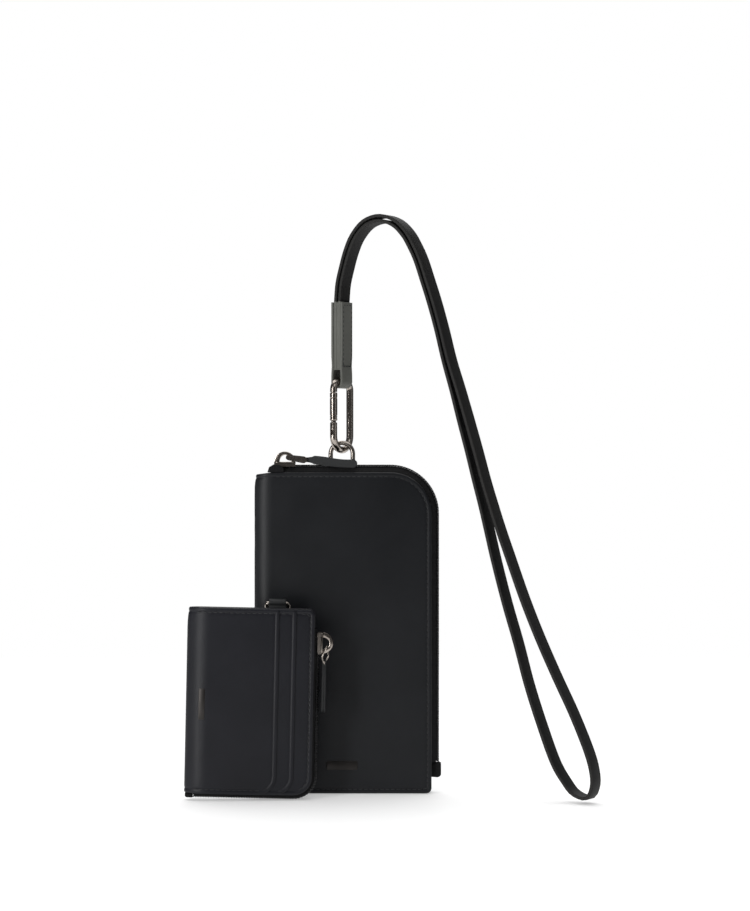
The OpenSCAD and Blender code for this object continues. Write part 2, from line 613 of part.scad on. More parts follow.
pouch_shell();
pouch_front_flap();
pouch_lining_back();
pouch_lining_front();
pouch_lining_flap();
pouch_inner_pocket();
pouch_zip_tape_back();
pouch_zip_tape_front();
pouch_zip_coil_back();
pouch_zip_coil_front();
pouch_zip_start_back();
pouch_zip_start_front();
pouch_zip_end_tab();
pouch_badge();
pouch_slider_body();
pouch_slider_bridge();
pouch_pull_link();
pouch_pull_pin();
pouch_pull_tab();
pouch_ring_loop();
pouch_d_ring();
clip_frame();
clip_gate();
gate_pin();
gate_spring();
strap_sleeve();
neck_strap();
card_shell();
card_slot_middle();
card_slot_outer();
card_lining_back();
card_lining_front();
card_zip_tape_back();
card_zip_tape_front();
card_zip_coil_back();
card_zip_coil_front();
card_zip_end_tab();
card_badge();
card_slider_body();
card_slider_bridge();
card_pull_link();
card_pull_pin();
card_pull_tab();
card_ring_loop();
card_d_ring();
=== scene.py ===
# %% [markdown]
# # A neck pouch wallet, piece by piece
# The object is a zipped leather phone pouch, a small zipped card case that stands in front of it, and a flat
# leather neck strap that hangs from a clip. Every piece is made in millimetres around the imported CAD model,
# which is the fixed frame: it says where each piece sits, and this file says what each piece looks like.

# %% Load the frame
import json
import math

import bmesh
import bpy
import numpy as np
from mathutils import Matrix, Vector, noise


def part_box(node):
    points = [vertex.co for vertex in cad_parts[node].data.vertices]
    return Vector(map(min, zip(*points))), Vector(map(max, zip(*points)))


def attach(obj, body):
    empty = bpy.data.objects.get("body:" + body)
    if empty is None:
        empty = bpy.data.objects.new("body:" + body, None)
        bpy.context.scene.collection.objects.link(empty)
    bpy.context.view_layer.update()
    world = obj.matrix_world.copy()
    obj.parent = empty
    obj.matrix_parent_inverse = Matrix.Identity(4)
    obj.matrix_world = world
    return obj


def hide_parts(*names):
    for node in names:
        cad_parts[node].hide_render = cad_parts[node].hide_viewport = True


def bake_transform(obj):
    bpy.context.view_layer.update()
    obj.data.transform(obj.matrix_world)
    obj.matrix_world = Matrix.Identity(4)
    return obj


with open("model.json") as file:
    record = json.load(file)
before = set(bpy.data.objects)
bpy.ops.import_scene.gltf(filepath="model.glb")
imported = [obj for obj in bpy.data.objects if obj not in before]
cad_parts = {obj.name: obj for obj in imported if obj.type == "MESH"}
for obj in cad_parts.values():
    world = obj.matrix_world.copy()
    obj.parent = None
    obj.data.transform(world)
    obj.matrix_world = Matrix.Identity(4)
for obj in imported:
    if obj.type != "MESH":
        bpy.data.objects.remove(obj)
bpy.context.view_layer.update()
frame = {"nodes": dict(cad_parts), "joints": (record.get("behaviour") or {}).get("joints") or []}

MM = 0.001

# %% [markdown]
# ## The camera
# It stands straight in front, a little above the middle of the object, and looks level. A level camera keeps
# upright lines parallel, as a product picture does.

# %% Camera
CAMERA_PLACE = (0.01795, -1.2, 0.1884)
CAMERA_LENS = 84.68
camera_data = bpy.data.cameras.new("camera")
camera_data.lens = CAMERA_LENS
camera_data.sensor_width = 36
camera = bpy.data.objects.new("camera", camera_data)
camera.location = CAMERA_PLACE
camera.rotation_euler = (math.radians(90), 0, 0)
bpy.context.scene.collection.objects.link(camera)
bpy.context.scene.camera = camera
bpy.context.scene.view_settings.view_transform = "Standard"
print("camera lens", camera_data.lens)

# %% [markdown]
# ## Finishes
# A finish is a short node tree on one Principled shader. Numbers that are the same all over go on the shader
# itself. What changes over the surface, such as grain, weave or wear, comes from textures in object
# coordinates, so no piece needs an unwrapped map and the grain keeps its real size everywhere.

# %% Helpers for finishes
finishes = {}


SHEEN_ROUGHNESS = 0.4


def start_finish(name, roughness, metallic=0.0, specular=0.5, sheen=0.0):
    material = bpy.data.materials.new(name)
    material.use_nodes = True
    tree = material.node_tree
    shader = tree.nodes["Principled BSDF"]
    shader.inputs["Roughness"].default_value = roughness
    shader.inputs["Metallic"].default_value = metallic
    shader.inputs["Specular IOR Level"].default_value = specular
    shader.inputs["Sheen Weight"].default_value = sheen
    shader.inputs["Sheen Roughness"].default_value = SHEEN_ROUGHNESS
    finishes[name] = material
    return tree, shader


def texture(tree, kind, scale, **settings):
    coordinates = tree.nodes.new("ShaderNodeTexCoord")
    node = tree.nodes.new("ShaderNodeTex" + kind)
    node.inputs["Scale"].default_value = scale
    for key, value in settings.items():
        if hasattr(node, key):
            setattr(node, key, value)
        else:
            node.inputs[key.capitalize()].default_value = value
    tree.links.new(coordinates.outputs["Object"], node.inputs["Vector"])
    return node


RAMP_LOW, RAMP_HIGH = 0.3, 0.7  # noise seldom leaves this band, so the ramp uses all of it


def color_between(tree, shader, factor, dark, light):
    ramp = tree.nodes.new("ShaderNodeValToRGB")
    ramp.color_ramp.elements[0].position = RAMP_LOW
    ramp.color_ramp.elements[1].position = RAMP_HIGH
    ramp.color_ramp.elements[0].color = (*dark, 1)
    ramp.color_ramp.elements[1].color = (*light, 1)
    tree.links.new(factor, ramp.inputs["Fac"])
    tree.links.new(ramp.outputs["Color"], shader.inputs["Base Color"])
    return ramp


def vary_roughness(tree, shader, factor, low, high):
    stretch = tree.nodes.new("ShaderNodeMapRange")
    stretch.inputs["To Min"].default_value = low
    stretch.inputs["To Max"].default_value = high
    tree.links.new(factor, stretch.inputs["Value"])
    tree.links.new(stretch.outputs["Result"], shader.inputs["Roughness"])


def bump(tree, shader, heights, strength, depth_mm):
    """Adds up several heights and raises the surface by them."""
    total = heights[0]
    for height in heights[1:]:
        add = tree.nodes.new("ShaderNodeMath")
        add.operation = "ADD"
        tree.links.new(total, add.inputs[0])
        tree.links.new(height, add.inputs[1])
        total = add.outputs["Value"]
    node = tree.nodes.new("ShaderNodeBump")
    node.inputs["Strength"].default_value = strength
    node.inputs["Distance"].default_value = depth_mm * MM
    tree.links.new(total, node.inputs["Height"])
    tree.links.new(node.outputs["Normal"], shader.inputs["Normal"])


print("finish helpers: texture, colour, roughness and bump")

# %% [markdown]
# ### Leather
# Smooth full-grain leather has tiny cells, about half a millimetre wide, a fine haze between them, and slow
# changes of shade where the hide was handled. Cells come from a Voronoi texture and the rest from noise.

# %% Leather finishes
GRAIN_DEPTH = 0.05
GRAIN_STRENGTH = 0.35


def leather(name, dark, light, roughness, grain_mm=0.55):
    tree, shader = start_finish(name, roughness, specular=0.23, sheen=0.01)
    cells = texture(tree, "Voronoi", 1 / (grain_mm * MM), feature="SMOOTH_F1")
    haze = texture(tree, "Noise", 2.6 / (grain_mm * MM), detail=3)
    slow = texture(tree, "Noise", 26, detail=2)
    color_between(tree, shader, slow.outputs["Fac"], dark, light)
    vary_roughness(tree, shader, slow.outputs["Fac"], roughness - 0.06, roughness + 0.06)
    bump(tree, shader, [cells.outputs["Distance"], haze.outputs["Fac"]], GRAIN_STRENGTH, GRAIN_DEPTH)


leather("pouch_leather", (0.0046, 0.0052, 0.0066), (0.0070, 0.0078, 0.0096), 0.43)
leather("card_leather", (0.0046, 0.0049, 0.0074), (0.0070, 0.0074, 0.0108), 0.41)
leather("trim_leather", (0.0120, 0.0128, 0.0134), (0.0180, 0.0190, 0.0198), 0.50, grain_mm=0.4)
# The sleeve's colour is painted much lighter than its leather's own colour: a painted highlight for the light
# falling on the sleeve.
leather("sleeve_leather", (0.092, 0.094, 0.084), (0.126, 0.128, 0.116), 0.58, grain_mm=0.45)
leather("stitch_thread", (0.016, 0.017, 0.018), (0.030, 0.031, 0.033), 0.6, grain_mm=0.3)
print("leathers:", sorted(finishes))

# %% [markdown]
# ### Woven tape, lining, strap, plastic and metal
# Tape and lining are weaves: two sets of bands that cross. The strap is a matt coated leather with a dense
# fine grain and paler, rubbed edges. The coil is smooth nylon. The metal is polished dark nickel whose shine
# is broken a little by handling marks.

# %% Other finishes
def weave(name, dark, light, thread_mm, roughness):
    tree, shader = start_finish(name, roughness, specular=0.1)
    bands = 0.16 / (thread_mm * MM)  # a wave texture needs about this scale for one band to a thread
    warp = texture(tree, "Wave", bands, bands_direction="X", distortion=0.6)
    weft = texture(tree, "Wave", bands, bands_direction="Z", distortion=0.6)
    fuzz = texture(tree, "Noise", 1 / (thread_mm * MM), detail=2)
    color_between(tree, shader, fuzz.outputs["Fac"], dark, light)
    bump(tree, shader, [warp.outputs["Fac"], weft.outputs["Fac"]], 0.6, 0.12)


def metal(name, dark, light, roughness):
    tree, shader = start_finish(name, roughness, metallic=1.0)
    marks = texture(tree, "Noise", 420, detail=4)
    slow = texture(tree, "Noise", 90, detail=1)
    color_between(tree, shader, slow.outputs["Fac"], dark, light)
    vary_roughness(tree, shader, marks.outputs["Fac"], roughness - 0.05, roughness + 0.08)
    bump(tree, shader, [marks.outputs["Fac"]], 0.05, 0.02)


def nylon(name):
    tree, shader = start_finish(name, 0.38, specular=0.3)
    fine = texture(tree, "Noise", 1500, detail=2)
    color_between(tree, shader, fine.outputs["Fac"], (0.004, 0.004, 0.0045), (0.009, 0.009, 0.010))
    bump(tree, shader, [fine.outputs["Fac"]], 0.2, 0.03)


def strap_finish(name):
    tree, shader = start_finish(name, 0.58, specular=0.12, sheen=0.01)
    grain = texture(tree, "Noise", 2300, detail=4)
    pores = texture(tree, "Voronoi", 1500)
    slow = texture(tree, "Noise", 34, detail=3)
    ramp = color_between(tree, shader, slow.outputs["Fac"],
                         (0.0036, 0.0036, 0.0038), (0.0072, 0.0072, 0.0074))
    wear = tree.nodes.new("ShaderNodeAttribute")
    wear.attribute_name = "wear"
    rub = tree.nodes.new("ShaderNodeMath")
    rub.operation = "MULTIPLY"
    tree.links.new(wear.outputs["Fac"], rub.inputs[0])
    tree.links.new(grain.outputs["Fac"], rub.inputs[1])
    mix = tree.nodes.new("ShaderNodeMix")
    mix.data_type = "RGBA"
    mix.inputs["B"].default_value = (0.040, 0.039, 0.037, 1)
    tree.links.new(rub.outputs["Value"], mix.inputs["Factor"])
    tree.links.new(ramp.outputs["Color"], mix.inputs["A"])
    tree.links.new(mix.outputs["Result"], shader.inputs["Base Color"])
    bump(tree, shader, [grain.outputs["Fac"], pores.outputs["Distance"]], 0.5, 0.06)


weave("zip_tape", (0.006, 0.006, 0.0065), (0.012, 0.012, 0.0125), 0.45, 0.8)
weave("lining_fabric", (0.008, 0.008, 0.010), (0.016, 0.016, 0.020), 0.5, 0.75)
nylon("zip_coil")
strap_finish("strap_webbing")
metal("dark_nickel", (0.27, 0.24, 0.215), (0.40, 0.36, 0.325), 0.2)
metal("dark_badge", (0.028, 0.026, 0.025), (0.045, 0.042, 0.040), 0.4)
print("finishes:", sorted(finishes))

# %% [markdown]
# ## Helpers for shapes
# Most pieces here are lofts: a row of rings of points, joined by quads. A tube is a loft of circles, a strap
# is a loft of flat sections, and a moulded plate is a loft of one outline, drawn in a little at its edges.

# %% Lofts
def loft(rings, round_rings=True, ends="cap"):
    """Joins rings of equal length; ends is cap, open or join."""
    count = len(rings[0])
    faces = []
    last = len(rings) if ends == "join" else len(rings) - 1
    for i in range(last):
        for k in range(count if round_rings else count - 1):
            a, b = i * count, (i + 1) % len(rings) * count
            faces.append((a + k, a + (k + 1) % count, b + (k + 1) % count, b + k))
    if ends == "cap":
        faces.append(tuple(reversed(range(count))))
        faces.append(tuple(range((len(rings) - 1) * count, len(rings) * count)))
    return [tuple(p) for ring in rings for p in ring], faces


def join_shapes(shapes):
    points, faces = [], []
    for more_points, more_faces in shapes:
        start = len(points)
        points += list(more_points)
        faces += [tuple(i + start for i in face) for face in more_faces]
    return points, faces


prism = loft([[(0, 0, z), (1, 0, z), (0, 1, z)] for z in (0, 1)])
print("a loft of two triangles has", len(prism[1]), "faces")

# %% [markdown]
# ### From a shape to a piece
# A shape is points in millimetres and faces. Adding it to the scene welds double points, turns all faces
# outward, smooths it except at sharp edges, gives it its finish, hangs it on the CAD body that carries it and
# hides the CAD nodes it stands for.

# %% Adding a piece
FINISH_SLOTS = {"card_leather": "pouch_leather", "stitch_thread": "trim_leather"}
WELD = 0.002 * MM


def add_piece(name, shape, finish, body=None, replaces=(), sharp=50):
    """Makes the object from points in millimetres and lets it ride on its body."""
    points, faces = shape
    mesh = bpy.data.meshes.new(name)
    mesh.from_pydata([(x * MM, y * MM, z * MM) for x, y, z in points], [], faces)
    work = bmesh.new()
    work.from_mesh(mesh)
    bmesh.ops.remove_doubles(work, verts=work.verts, dist=WELD)
    bmesh.ops.recalc_face_normals(work, faces=work.faces)
    work.to_mesh(mesh)
    work.free()
    mesh.shade_smooth()
    mesh.set_sharp_from_angle(angle=math.radians(sharp))
    mesh.materials.append(finishes[finish])
    piece = bpy.data.objects.new(name, mesh)
    bpy.context.scene.collection.objects.link(piece)
    FINISH_SLOTS.get(finish, finish)
    if body:
        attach(piece, body)
    if replaces:
        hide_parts(*replaces)
    print(f"{name}: {len(mesh.vertices)} points")
    return piece


print("finishes that share a slot:", FINISH_SLOTS)

# %% [markdown]
# ### Sweeping along a path
# A tube keeps its round section square to the path. Its side direction is carried on from ring to ring, so
# that it doesn't twist. A ribbon has a flat section instead, whose width stays in one given direction.

# %% Tubes and ribbons
def unit(v):
    v = np.asarray(v, float)
    return v / np.linalg.norm(v)


def headings(path, closed=False):
    if closed:
        return [unit(path[(i + 1) % len(path)] - path[i - 1]) for i in range(len(path))]
    last = len(path) - 1
    return [unit(path[min(i + 1, last)] - path[max(i - 1, 0)]) for i in range(len(path))]


def tube(path, radius, sides, closed=False):
    """radius is one number, or a list with one for each point."""
    path = [np.asarray(p, float) for p in path]
    radii = radius if isinstance(radius, (list, tuple)) else [radius] * len(path)
    side = None
    rings = []
    for p, t, r in zip(path, headings(path, closed), radii):
        if side is None:
            side = unit(np.cross(t, (0.3, 1, 0.1) if abs(t[1]) < 0.9 else (1, 0, 0.1)))
        side = unit(side - t * np.dot(side, t))
        other = np.cross(t, side)
        rings.append([p + r * (math.cos(a) * side + math.sin(a) * other)
                      for a in np.linspace(0, 2 * math.pi, sides, endpoint=False)])
    return loft(rings, ends="join" if closed else "cap")


def ribbon(path, across, section):
    """Sweeps (a, b) sections: a along the across direction, b square to it and to the path."""
    path = [np.asarray(p, float) for p in path]
    rings = []
    for p, t in zip(path, headings(path)):
        wide = unit(np.asarray(across, float) - t * np.dot(across, t))
        thin = np.cross(wide, t)
        rings.append([p + wide * a + thin * b for a, b in section])
    return loft(rings)


print("heading of a level path:", headings([np.zeros(3), np.array([1.0, 0, 0])])[0])

# %% [markdown]
# ### Outlines and plates
# A plate is an outline with some thickness. Cast metal and cut leather never have knife edges, so the outline
# is drawn in at both faces by a small, rounded step.

# %% Outlines and plates
def round_section(width, thick, corner, steps=3):
    """A rounded rectangle, counted round from its right side."""
    points = []
    for cx, cy, start in ((1, 1, 0), (-1, 1, 90), (-1, -1, 180), (1, -1, 270)):
        for k in range(steps + 1):
            a = math.radians(start + 90 * k / steps)
            points.append((cx * (width / 2 - corner) + corner * math.cos(a),
                           cy * (thick / 2 - corner) + corner * math.sin(a)))
    return points


SHARPEST = 0.35  # keeps a very sharp corner from being drawn in too far


def drawn_in(outline, inset):
    """Moves each side of a closed outline inward."""
    pts = np.array(outline, float)
    area = sum(pts[i - 1][0] * pts[i][1] - pts[i][0] * pts[i - 1][1] for i in range(len(pts)))
    turn = 1 if area > 0 else -1
    result = []
    for i in range(len(pts)):
        before, after = unit(pts[i] - pts[i - 1]), unit(pts[(i + 1) % len(pts)] - pts[i])
        n1 = turn * np.array([-before[1], before[0]])
        n2 = turn * np.array([-after[1], after[0]])
        result.append(pts[i] + inset * (n1 + n2) / max(SHARPEST, 1 + np.dot(n1, n2)))
    return result


def plate(outline, low, high, edge, place):
    """A moulded plate: the outline between two depths, with rounded edges."""
    steps = [(edge, low), (0.3 * edge, low + 0.3 * edge), (0, low + edge),
             (0, high - edge), (0.3 * edge, high - 0.3 * edge), (edge, high)]
    rings = [[place(a, depth, c) for a, c in drawn_in(outline, inset)] for inset, depth in steps]
    return loft(rings)


def plain(a, depth, c):
    """The place function of a piece that stands square to the frame."""
    return (a, depth, c)


def arc(center, radius, start, end, steps):
    """Points of a round stretch, from one angle to another, in degrees."""
    return [(center[0] + radius * math.cos(math.radians(a)), center[1] + radius * math.sin(math.radians(a)))
            for a in np.linspace(start, end, steps + 1)]


def low_high(node):
    """The lowest and highest corner of a CAD node, in millimetres."""
    low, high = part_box(node)
    return np.array(low) / MM, np.array(high) / MM


for corner in low_high("pouch_shell"):
    print("a corner of the pouch, in millimetres:", corner.round(1).tolist())

# %% [markdown]
# ## The neck strap
# A flat strap, 9.5 mm wide and about 0.8 m long, leaves the sleeve as two strands, rises in an arch and hangs
# to a round fold near the floor. It is stiff enough to keep that line. Its route is the CAD route, repeated
# here in millimetres, with a smooth curve through the points: x, y and z of the middle between the strands,
# and half the distance between them. The section keeps its width along the clip's own width, so the strap
# shows its face on the way down and its edge where it passes over the arch.

# %% Strap route
STRAP_PAIR = [
    (0, 9.5, 285, 1.4), (2, 8, 294, 1.4), (4.5, 6, 303, 1.4), (8, 3, 311, 1.4), (14, -0.5, 318, 1.4),
    (22, -4, 320.5, 1.4), (30, -6.5, 318, 1.4), (36, -8.5, 312, 1.4), (40, -9.5, 305, 1.4),
    (43.5, -10.5, 297, 1.4), (47, -12, 286, 1.4), (51, -13, 273, 1.4), (55, -14.5, 258, 1.4),
    (59, -16, 241, 1.5), (63.5, -17.5, 225, 1.8), (68, -19, 208, 2.2), (72.5, -20.5, 191, 2.4),
    (76.5, -22, 175, 2.6), (80, -23.5, 162, 2.9), (84, -25, 147, 3.6), (88.5, -26, 131, 4.6),
    (95, -28.5, 109, 5.7), (102, -30.5, 88, 6.9), (109.5, -32.5, 66, 9), (117.5, -34.5, 45, 10.6),
    (125, -36.5, 25, 11), (129.5, -37.5, 14, 9.2), (132, -38.5, 7, 6.2)]
STRAP_FOOT = (134, -39, 3)
STRAP_HALF_START = 1.4
STRAP_STEP = 2.6
STRAP_W, STRAP_T = 9.5, 1.9
CLIP_TURN = math.radians(56)
clip_across = np.array([math.cos(CLIP_TURN), math.sin(CLIP_TURN), 0])
clip_through = np.array([-math.sin(CLIP_TURN), math.cos(CLIP_TURN), 0])
sleeve_low, sleeve_high = low_high("strap_sleeve")
clip_mid = (sleeve_low + sleeve_high) / 2
sleeve_top = sleeve_high[2]


def inward(t):
    wide = unit(clip_across - t * np.dot(clip_across, t))
    return unit(np.cross(wide, t))


def strap_route():
    pair = [(clip_mid[0], clip_mid[1], sleeve_top, STRAP_HALF_START)] + STRAP_PAIR
    middle = [np.array(p[:3], float) for p in pair]
    sides = [inward(t) for t in headings(middle)]
    sides[0] = inward(np.array([0, 0, 1.0]))
    inner = [m + s * p[3] for m, s, p in zip(middle, sides, pair)]
    outer = [m - s * p[3] for m, s, p in zip(middle, sides, pair)]
    return inner + [np.array(STRAP_FOOT, float)] + outer[::-1]


def smooth_line(points, step):
    """A smooth curve through the points, sampled evenly."""
    points = [2 * points[0] - points[1]] + list(points) + [2 * points[-1] - points[-2]]
    dense = []
    for p0, p1, p2, p3 in zip(points, points[1:], points[2:], points[3:]):
        for t in np.linspace(0, 1, 24, endpoint=False):
            dense.append(0.5 * (2 * p1 + (p2 - p0) * t + (2 * p0 - 5 * p1 + 4 * p2 - p3) * t ** 2
                                + (3 * p1 - p0 - 3 * p2 + p3) * t ** 3))
    dense.append(points[-2])
    return evenly(dense, step)


def evenly(points, step):
    points = np.array(points, float)
    far = np.concatenate([[0], np.cumsum(np.linalg.norm(np.diff(points, axis=0), axis=1))])
    at = np.linspace(0, far[-1], max(2, int(round(far[-1] / step)) + 1))
    return list(np.stack([np.interp(at, far, points[:, i]) for i in range(points.shape[1])], 1))


def length_of(path):
    return float(sum(np.linalg.norm(b - a) for a, b in zip(path, path[1:])))


strap_line = smooth_line(strap_route(), STRAP_STEP)
print("strap", round(length_of(strap_line)), "mm long,", len(strap_line), "rings")

# %% Strap
RUBBED_EDGE = 0.9


def wear_along_edges(piece, section, flat_half):
    """Marks how near each point is to the strap's edge, for the rubbed look."""
    marks = [max(0.0, (abs(a) - flat_half) / (STRAP_W / 2 - flat_half)) for a, b in section]
    layer = piece.data.attributes.new("wear", "FLOAT", "POINT")
    layer.data.foreach_set("value", [marks[i % len(section)] for i in range(len(piece.data.vertices))])


strap_section = round_section(STRAP_W, STRAP_T, 0.55)
neck_strap = add_piece("neck_strap_leather", ribbon(strap_line, clip_across, strap_section),
                       "strap_webbing", "strap", ["neck_strap"])
wear_along_edges(neck_strap, strap_section, STRAP_W / 2 - RUBBED_EDGE)

# %% [markdown]
# ## The sleeve
# A leather band is folded round the clip's top bar and sewn through both strap ends. It is made as it is cut:
# one strip, swept down one side, round the bar and up the other side. The strap ends fill the space between,
# and a stitched box holds them.

# %% Sleeve
sleeve_w = 10.4
sleeve_half = 3.9
sleeve_leather = 1.5
bar_z = sleeve_low[2] + sleeve_half
PRESS_IN, PRESS_RISE, PRESS_REACH = 0.35, 9, 3.5


def at_clip(a, b, z):
    """Clip's own directions: a across it, b through it."""
    spot = clip_across * a + clip_through * b
    return (clip_mid[0] + spot[0], clip_mid[1] + spot[1], z)


def make_sleeve():
    mid = sleeve_half - sleeve_leather / 2
    side = [(mid, z) for z in np.linspace(sleeve_top - 0.3, bar_z + 1, 18)]
    # the band is pressed together a little above the bar, where the stitches pull
    press = [(b - PRESS_IN * math.exp(-((z - bar_z - PRESS_RISE) / PRESS_REACH) ** 2), z) for b, z in side]
    turn = [(mid * math.cos(a), bar_z + mid * math.sin(a)) for a in np.linspace(0, -math.pi, 17)]
    line = press + turn + [(-b, z) for b, z in reversed(press)]
    path = [at_clip(0, b, z) for b, z in line]
    section = round_section(sleeve_w, sleeve_leather, 0.6)
    return ribbon(path, clip_across, section)


# The sleeve takes that lightened colour, a painted highlight.
add_piece("strap_sleeve_leather", make_sleeve(), "sleeve_leather", "strap", ["strap_sleeve"])


def make_strap_ends():
    """Both ends of the strap, and a thin leather strip that fills the space between them."""
    start = bar_z + 6.5
    strap_end = round_section(STRAP_W, STRAP_T, 0.5)
    filler = round_section(STRAP_W - 0.4, 2 * STRAP_HALF_START - STRAP_T + 0.3, 0.3)
    layers = []
    for b, section, top in ((-STRAP_HALF_START, strap_end, sleeve_top + 0.1),
                            (STRAP_HALF_START, strap_end, sleeve_top + 0.1), (0, filler, sleeve_top - 0.4)):
        path = [at_clip(0, b, z) for z in np.linspace(start, top, 8)]
        layers.append(ribbon(path, clip_across, section))
    return join_shapes(layers)


# The strap ends inside the sleeve take the same lightened colour, a painted highlight.
add_piece("strap_ends", make_strap_ends(), "sleeve_leather", "strap")

# %% [markdown]
# ### Stitches
# A stitch is a short rounded thread lying in the seam. One function lays them at an even pitch along any
# line. The line is given flat on the leather, and a place function sets it on the piece's real surface.

# %% Stitches
STITCH_PITCH = 3.0
STITCH_L = 2.35
STITCH_T = 0.55
STITCH_DIP = 0.35
STITCH_SINK = 0.02
STITCH_RINGS = ((-0.5, 0.15), (-0.42, 0.7), (-0.2, 1), (0.2, 1), (0.42, 0.7), (0.5, 0.15))


def stitches(line, place, sink, pitch=STITCH_PITCH):
    """Stitches on a line of flat (a, c) points, which place(a, depth, c) puts on the surface."""
    marks = evenly(line, pitch)
    shapes = []
    for before, after in zip(marks, marks[1:]):
        mid, run = (before + after) / 2, unit(after - before)
        cross = np.array([-run[1], run[0]])
        rings = []
        for along, fat in STITCH_RINGS:
            ring = []
            for a in np.linspace(0, 2 * math.pi, 6, endpoint=False):
                flat = mid + run * along * STITCH_L + cross * math.cos(a) * fat * STITCH_T / 2
                dip = sink + STITCH_DIP * (2 * along) ** 2 * STITCH_T
                ring.append(place(flat[0], dip - math.sin(a) * fat * STITCH_T / 2, flat[1]))
            rings.append(ring)
        shapes.append(loft(rings))
    return join_shapes(shapes)


def sleeve_stitches():
    """A stitched box on each face of the sleeve."""
    half, low, high = 3.9, bar_z + 8.5, sleeve_top - 2
    box = [(-half, low), (-half, high), (half, high), (half, low), (-half, low)]
    both = []
    for side in (-1, 1):
        place = lambda a, depth, c, side=side: at_clip(a, side * (sleeve_half - depth), c)
        both += [stitches([p, q], place, 0.1, 2.6) for p, q in zip(box, box[1:])]
    return join_shapes(both)


add_piece("sleeve_stitches", sleeve_stitches(), "stitch_thread", "strap")

# %% [markdown]
# ## The clip
# The clip is one round bar bent to a long loop. Its gate closes the left side: a thicker rod, hinged on a pin
# in a fork at the bottom, with a grooved collar at each end. A swept circle gives the bend a true round
# section, which polished metal needs, because its reflections show every flat.

# %% Clip bar
clip_low, clip_high = low_high("clip_frame")
gate_high = low_high("clip_gate")[1]
BAR = 2.0
leg = 8.0
low_center = clip_low[2] + BAR + leg
top_corner = 5.0
top_center = clip_high[2] - BAR - top_corner
fork_top = low_center + 7.5
nose = gate_high[2] + 0.3
gate_pin_z = low_center + 3.9
FORK_HALF = 0.9


def fork_cheek(side):
    """Half of the fork: the bar's own round section, with a flat cut inside for the gate's tongue."""
    flat_from = 0.47
    outline = [(BAR * math.cos(a), side * max(BAR * math.sin(a), FORK_HALF + 0.02))
               for a in np.linspace(flat_from, math.pi - flat_from, 11)]
    rings = []
    for z, shrink in ((low_center, 1), (fork_top - 0.4, 1), (fork_top - 0.1, 0.93), (fork_top, 0.8)):
        rings.append([at_clip(-leg + x * shrink, b if abs(b) < 1 else b * shrink ** 0.5, z)
                      for x, b in outline])
    return loft(rings)


def make_clip_bar():
    line = [(-leg, z) for z in np.linspace(nose, top_center, 3)]
    line += arc((top_corner - leg, top_center), top_corner, 180, 90, 10)
    line += arc((leg - top_corner, top_center), top_corner, 90, 0, 10)
    line += [(leg, z) for z in np.linspace(top_center, low_center, 12)[1:-1]]
    line += arc((0, low_center), leg, 0, -180, 26)
    line += [(-leg, low_center + 0.4)]
    bar = tube([at_clip(a, 0, z) for a, z in line], BAR, 20)
    left, right, low, high = -leg - 1.4, -leg + 0.9, nose - 2.4, nose + 1
    tongue = plate([(left, low), (right, low), (right, high), (left, high)], -0.6, 0.6, 0.2, at_clip)
    return join_shapes([bar, tongue, fork_cheek(-1), fork_cheek(1)])


add_piece("clip_bar", make_clip_bar(), "dark_nickel", "clip", ["clip_frame"])


# %% Clip gate, pin and spring
def make_gate():
    """A rod turned to a profile of (height, radius), with a flat tongue below for the pin."""
    low, high = fork_top + 0.8, gate_high[2]
    groove = lambda z: [(z, 2.1), (z + 0.12, 1.85), (z + 0.5, 1.85), (z + 0.62, 2.1)]
    profile = [(low, 1.6), (low + 0.3, 2.0), (low + 0.5, 2.1)] + groove(low + 1.4) + groove(low + 2.6)
    profile += groove(high - 3.4) + [(high - 0.5, 2.1), (high - 0.25, 2.0), (high, 1.75)]
    rod = tube([at_clip(-leg, 0, z) for z, r in profile], [r for z, r in profile], 20)
    eye = 1.5
    outline = arc((-leg, gate_pin_z), eye, 180, 360, 10) + [(-leg + eye, low + 0.6), (-leg - eye, low + 0.6)]
    tongue = plate(outline, -0.65, 0.65, 0.15, at_clip)
    return join_shapes([rod, tongue])


add_piece("gate_rod", make_gate(), "dark_nickel", "gate", ["clip_gate"])


def make_pin(half, radius, place):
    """A riveted pin with a slightly domed head at each end."""
    dome = [(half - 0.3, 1), (half - 0.12, 0.85), (half, 0.45)]
    steps = [(-b, fat) for b, fat in reversed(dome)] + dome
    return tube([place(b) for b, fat in steps], [radius * fat for b, fat in steps], 16)


add_piece("gate_rivet", make_pin(1.95, 0.65, lambda b: at_clip(-leg, b, gate_pin_z)), "dark_nickel", "clip",
          ["gate_pin"])


def make_spring():
    turns, radius, wire = 3.5, 0.5, 0.16
    low, high = low_center + 0.5, low_center + 2.0
    path = []
    for t in np.linspace(0, 1, 50):
        a = 2 * math.pi * turns * t
        path.append(at_clip(-leg + radius * math.cos(a), radius * math.sin(a), low + (high - low) * t))
    return tube(path, wire, 6)


add_piece("gate_spring_coil", make_spring(), "dark_nickel", "clip", ["gate_spring"])

# %% [markdown]
# ## Rings
# Each ring is a D: a straight bar held in a leather loop, and a round arch. One closed tube makes it.

# %% D-rings
def d_ring(radius, leg_h, wire, place):
    """The line runs along the bar from left to right, then up, over the arch and down again."""
    corner = 1.2
    line = [(t, 0) for t in np.linspace(-(radius - corner), radius - corner, 6)]
    line += arc((radius - corner, corner), corner, -90, 0, 5)[1:]
    line += [(radius, z) for z in np.linspace(corner, leg_h, 4)[1:-1]]
    line += arc((0, leg_h), radius, 0, 180, 26)
    line += [(-radius, z) for z in np.linspace(leg_h, corner, 4)[1:-1]]
    line += arc((corner - radius, corner), corner, 180, 270, 5)[:-1]
    return tube([place(a, c) for a, c in line], wire / 2, 16, closed=True)


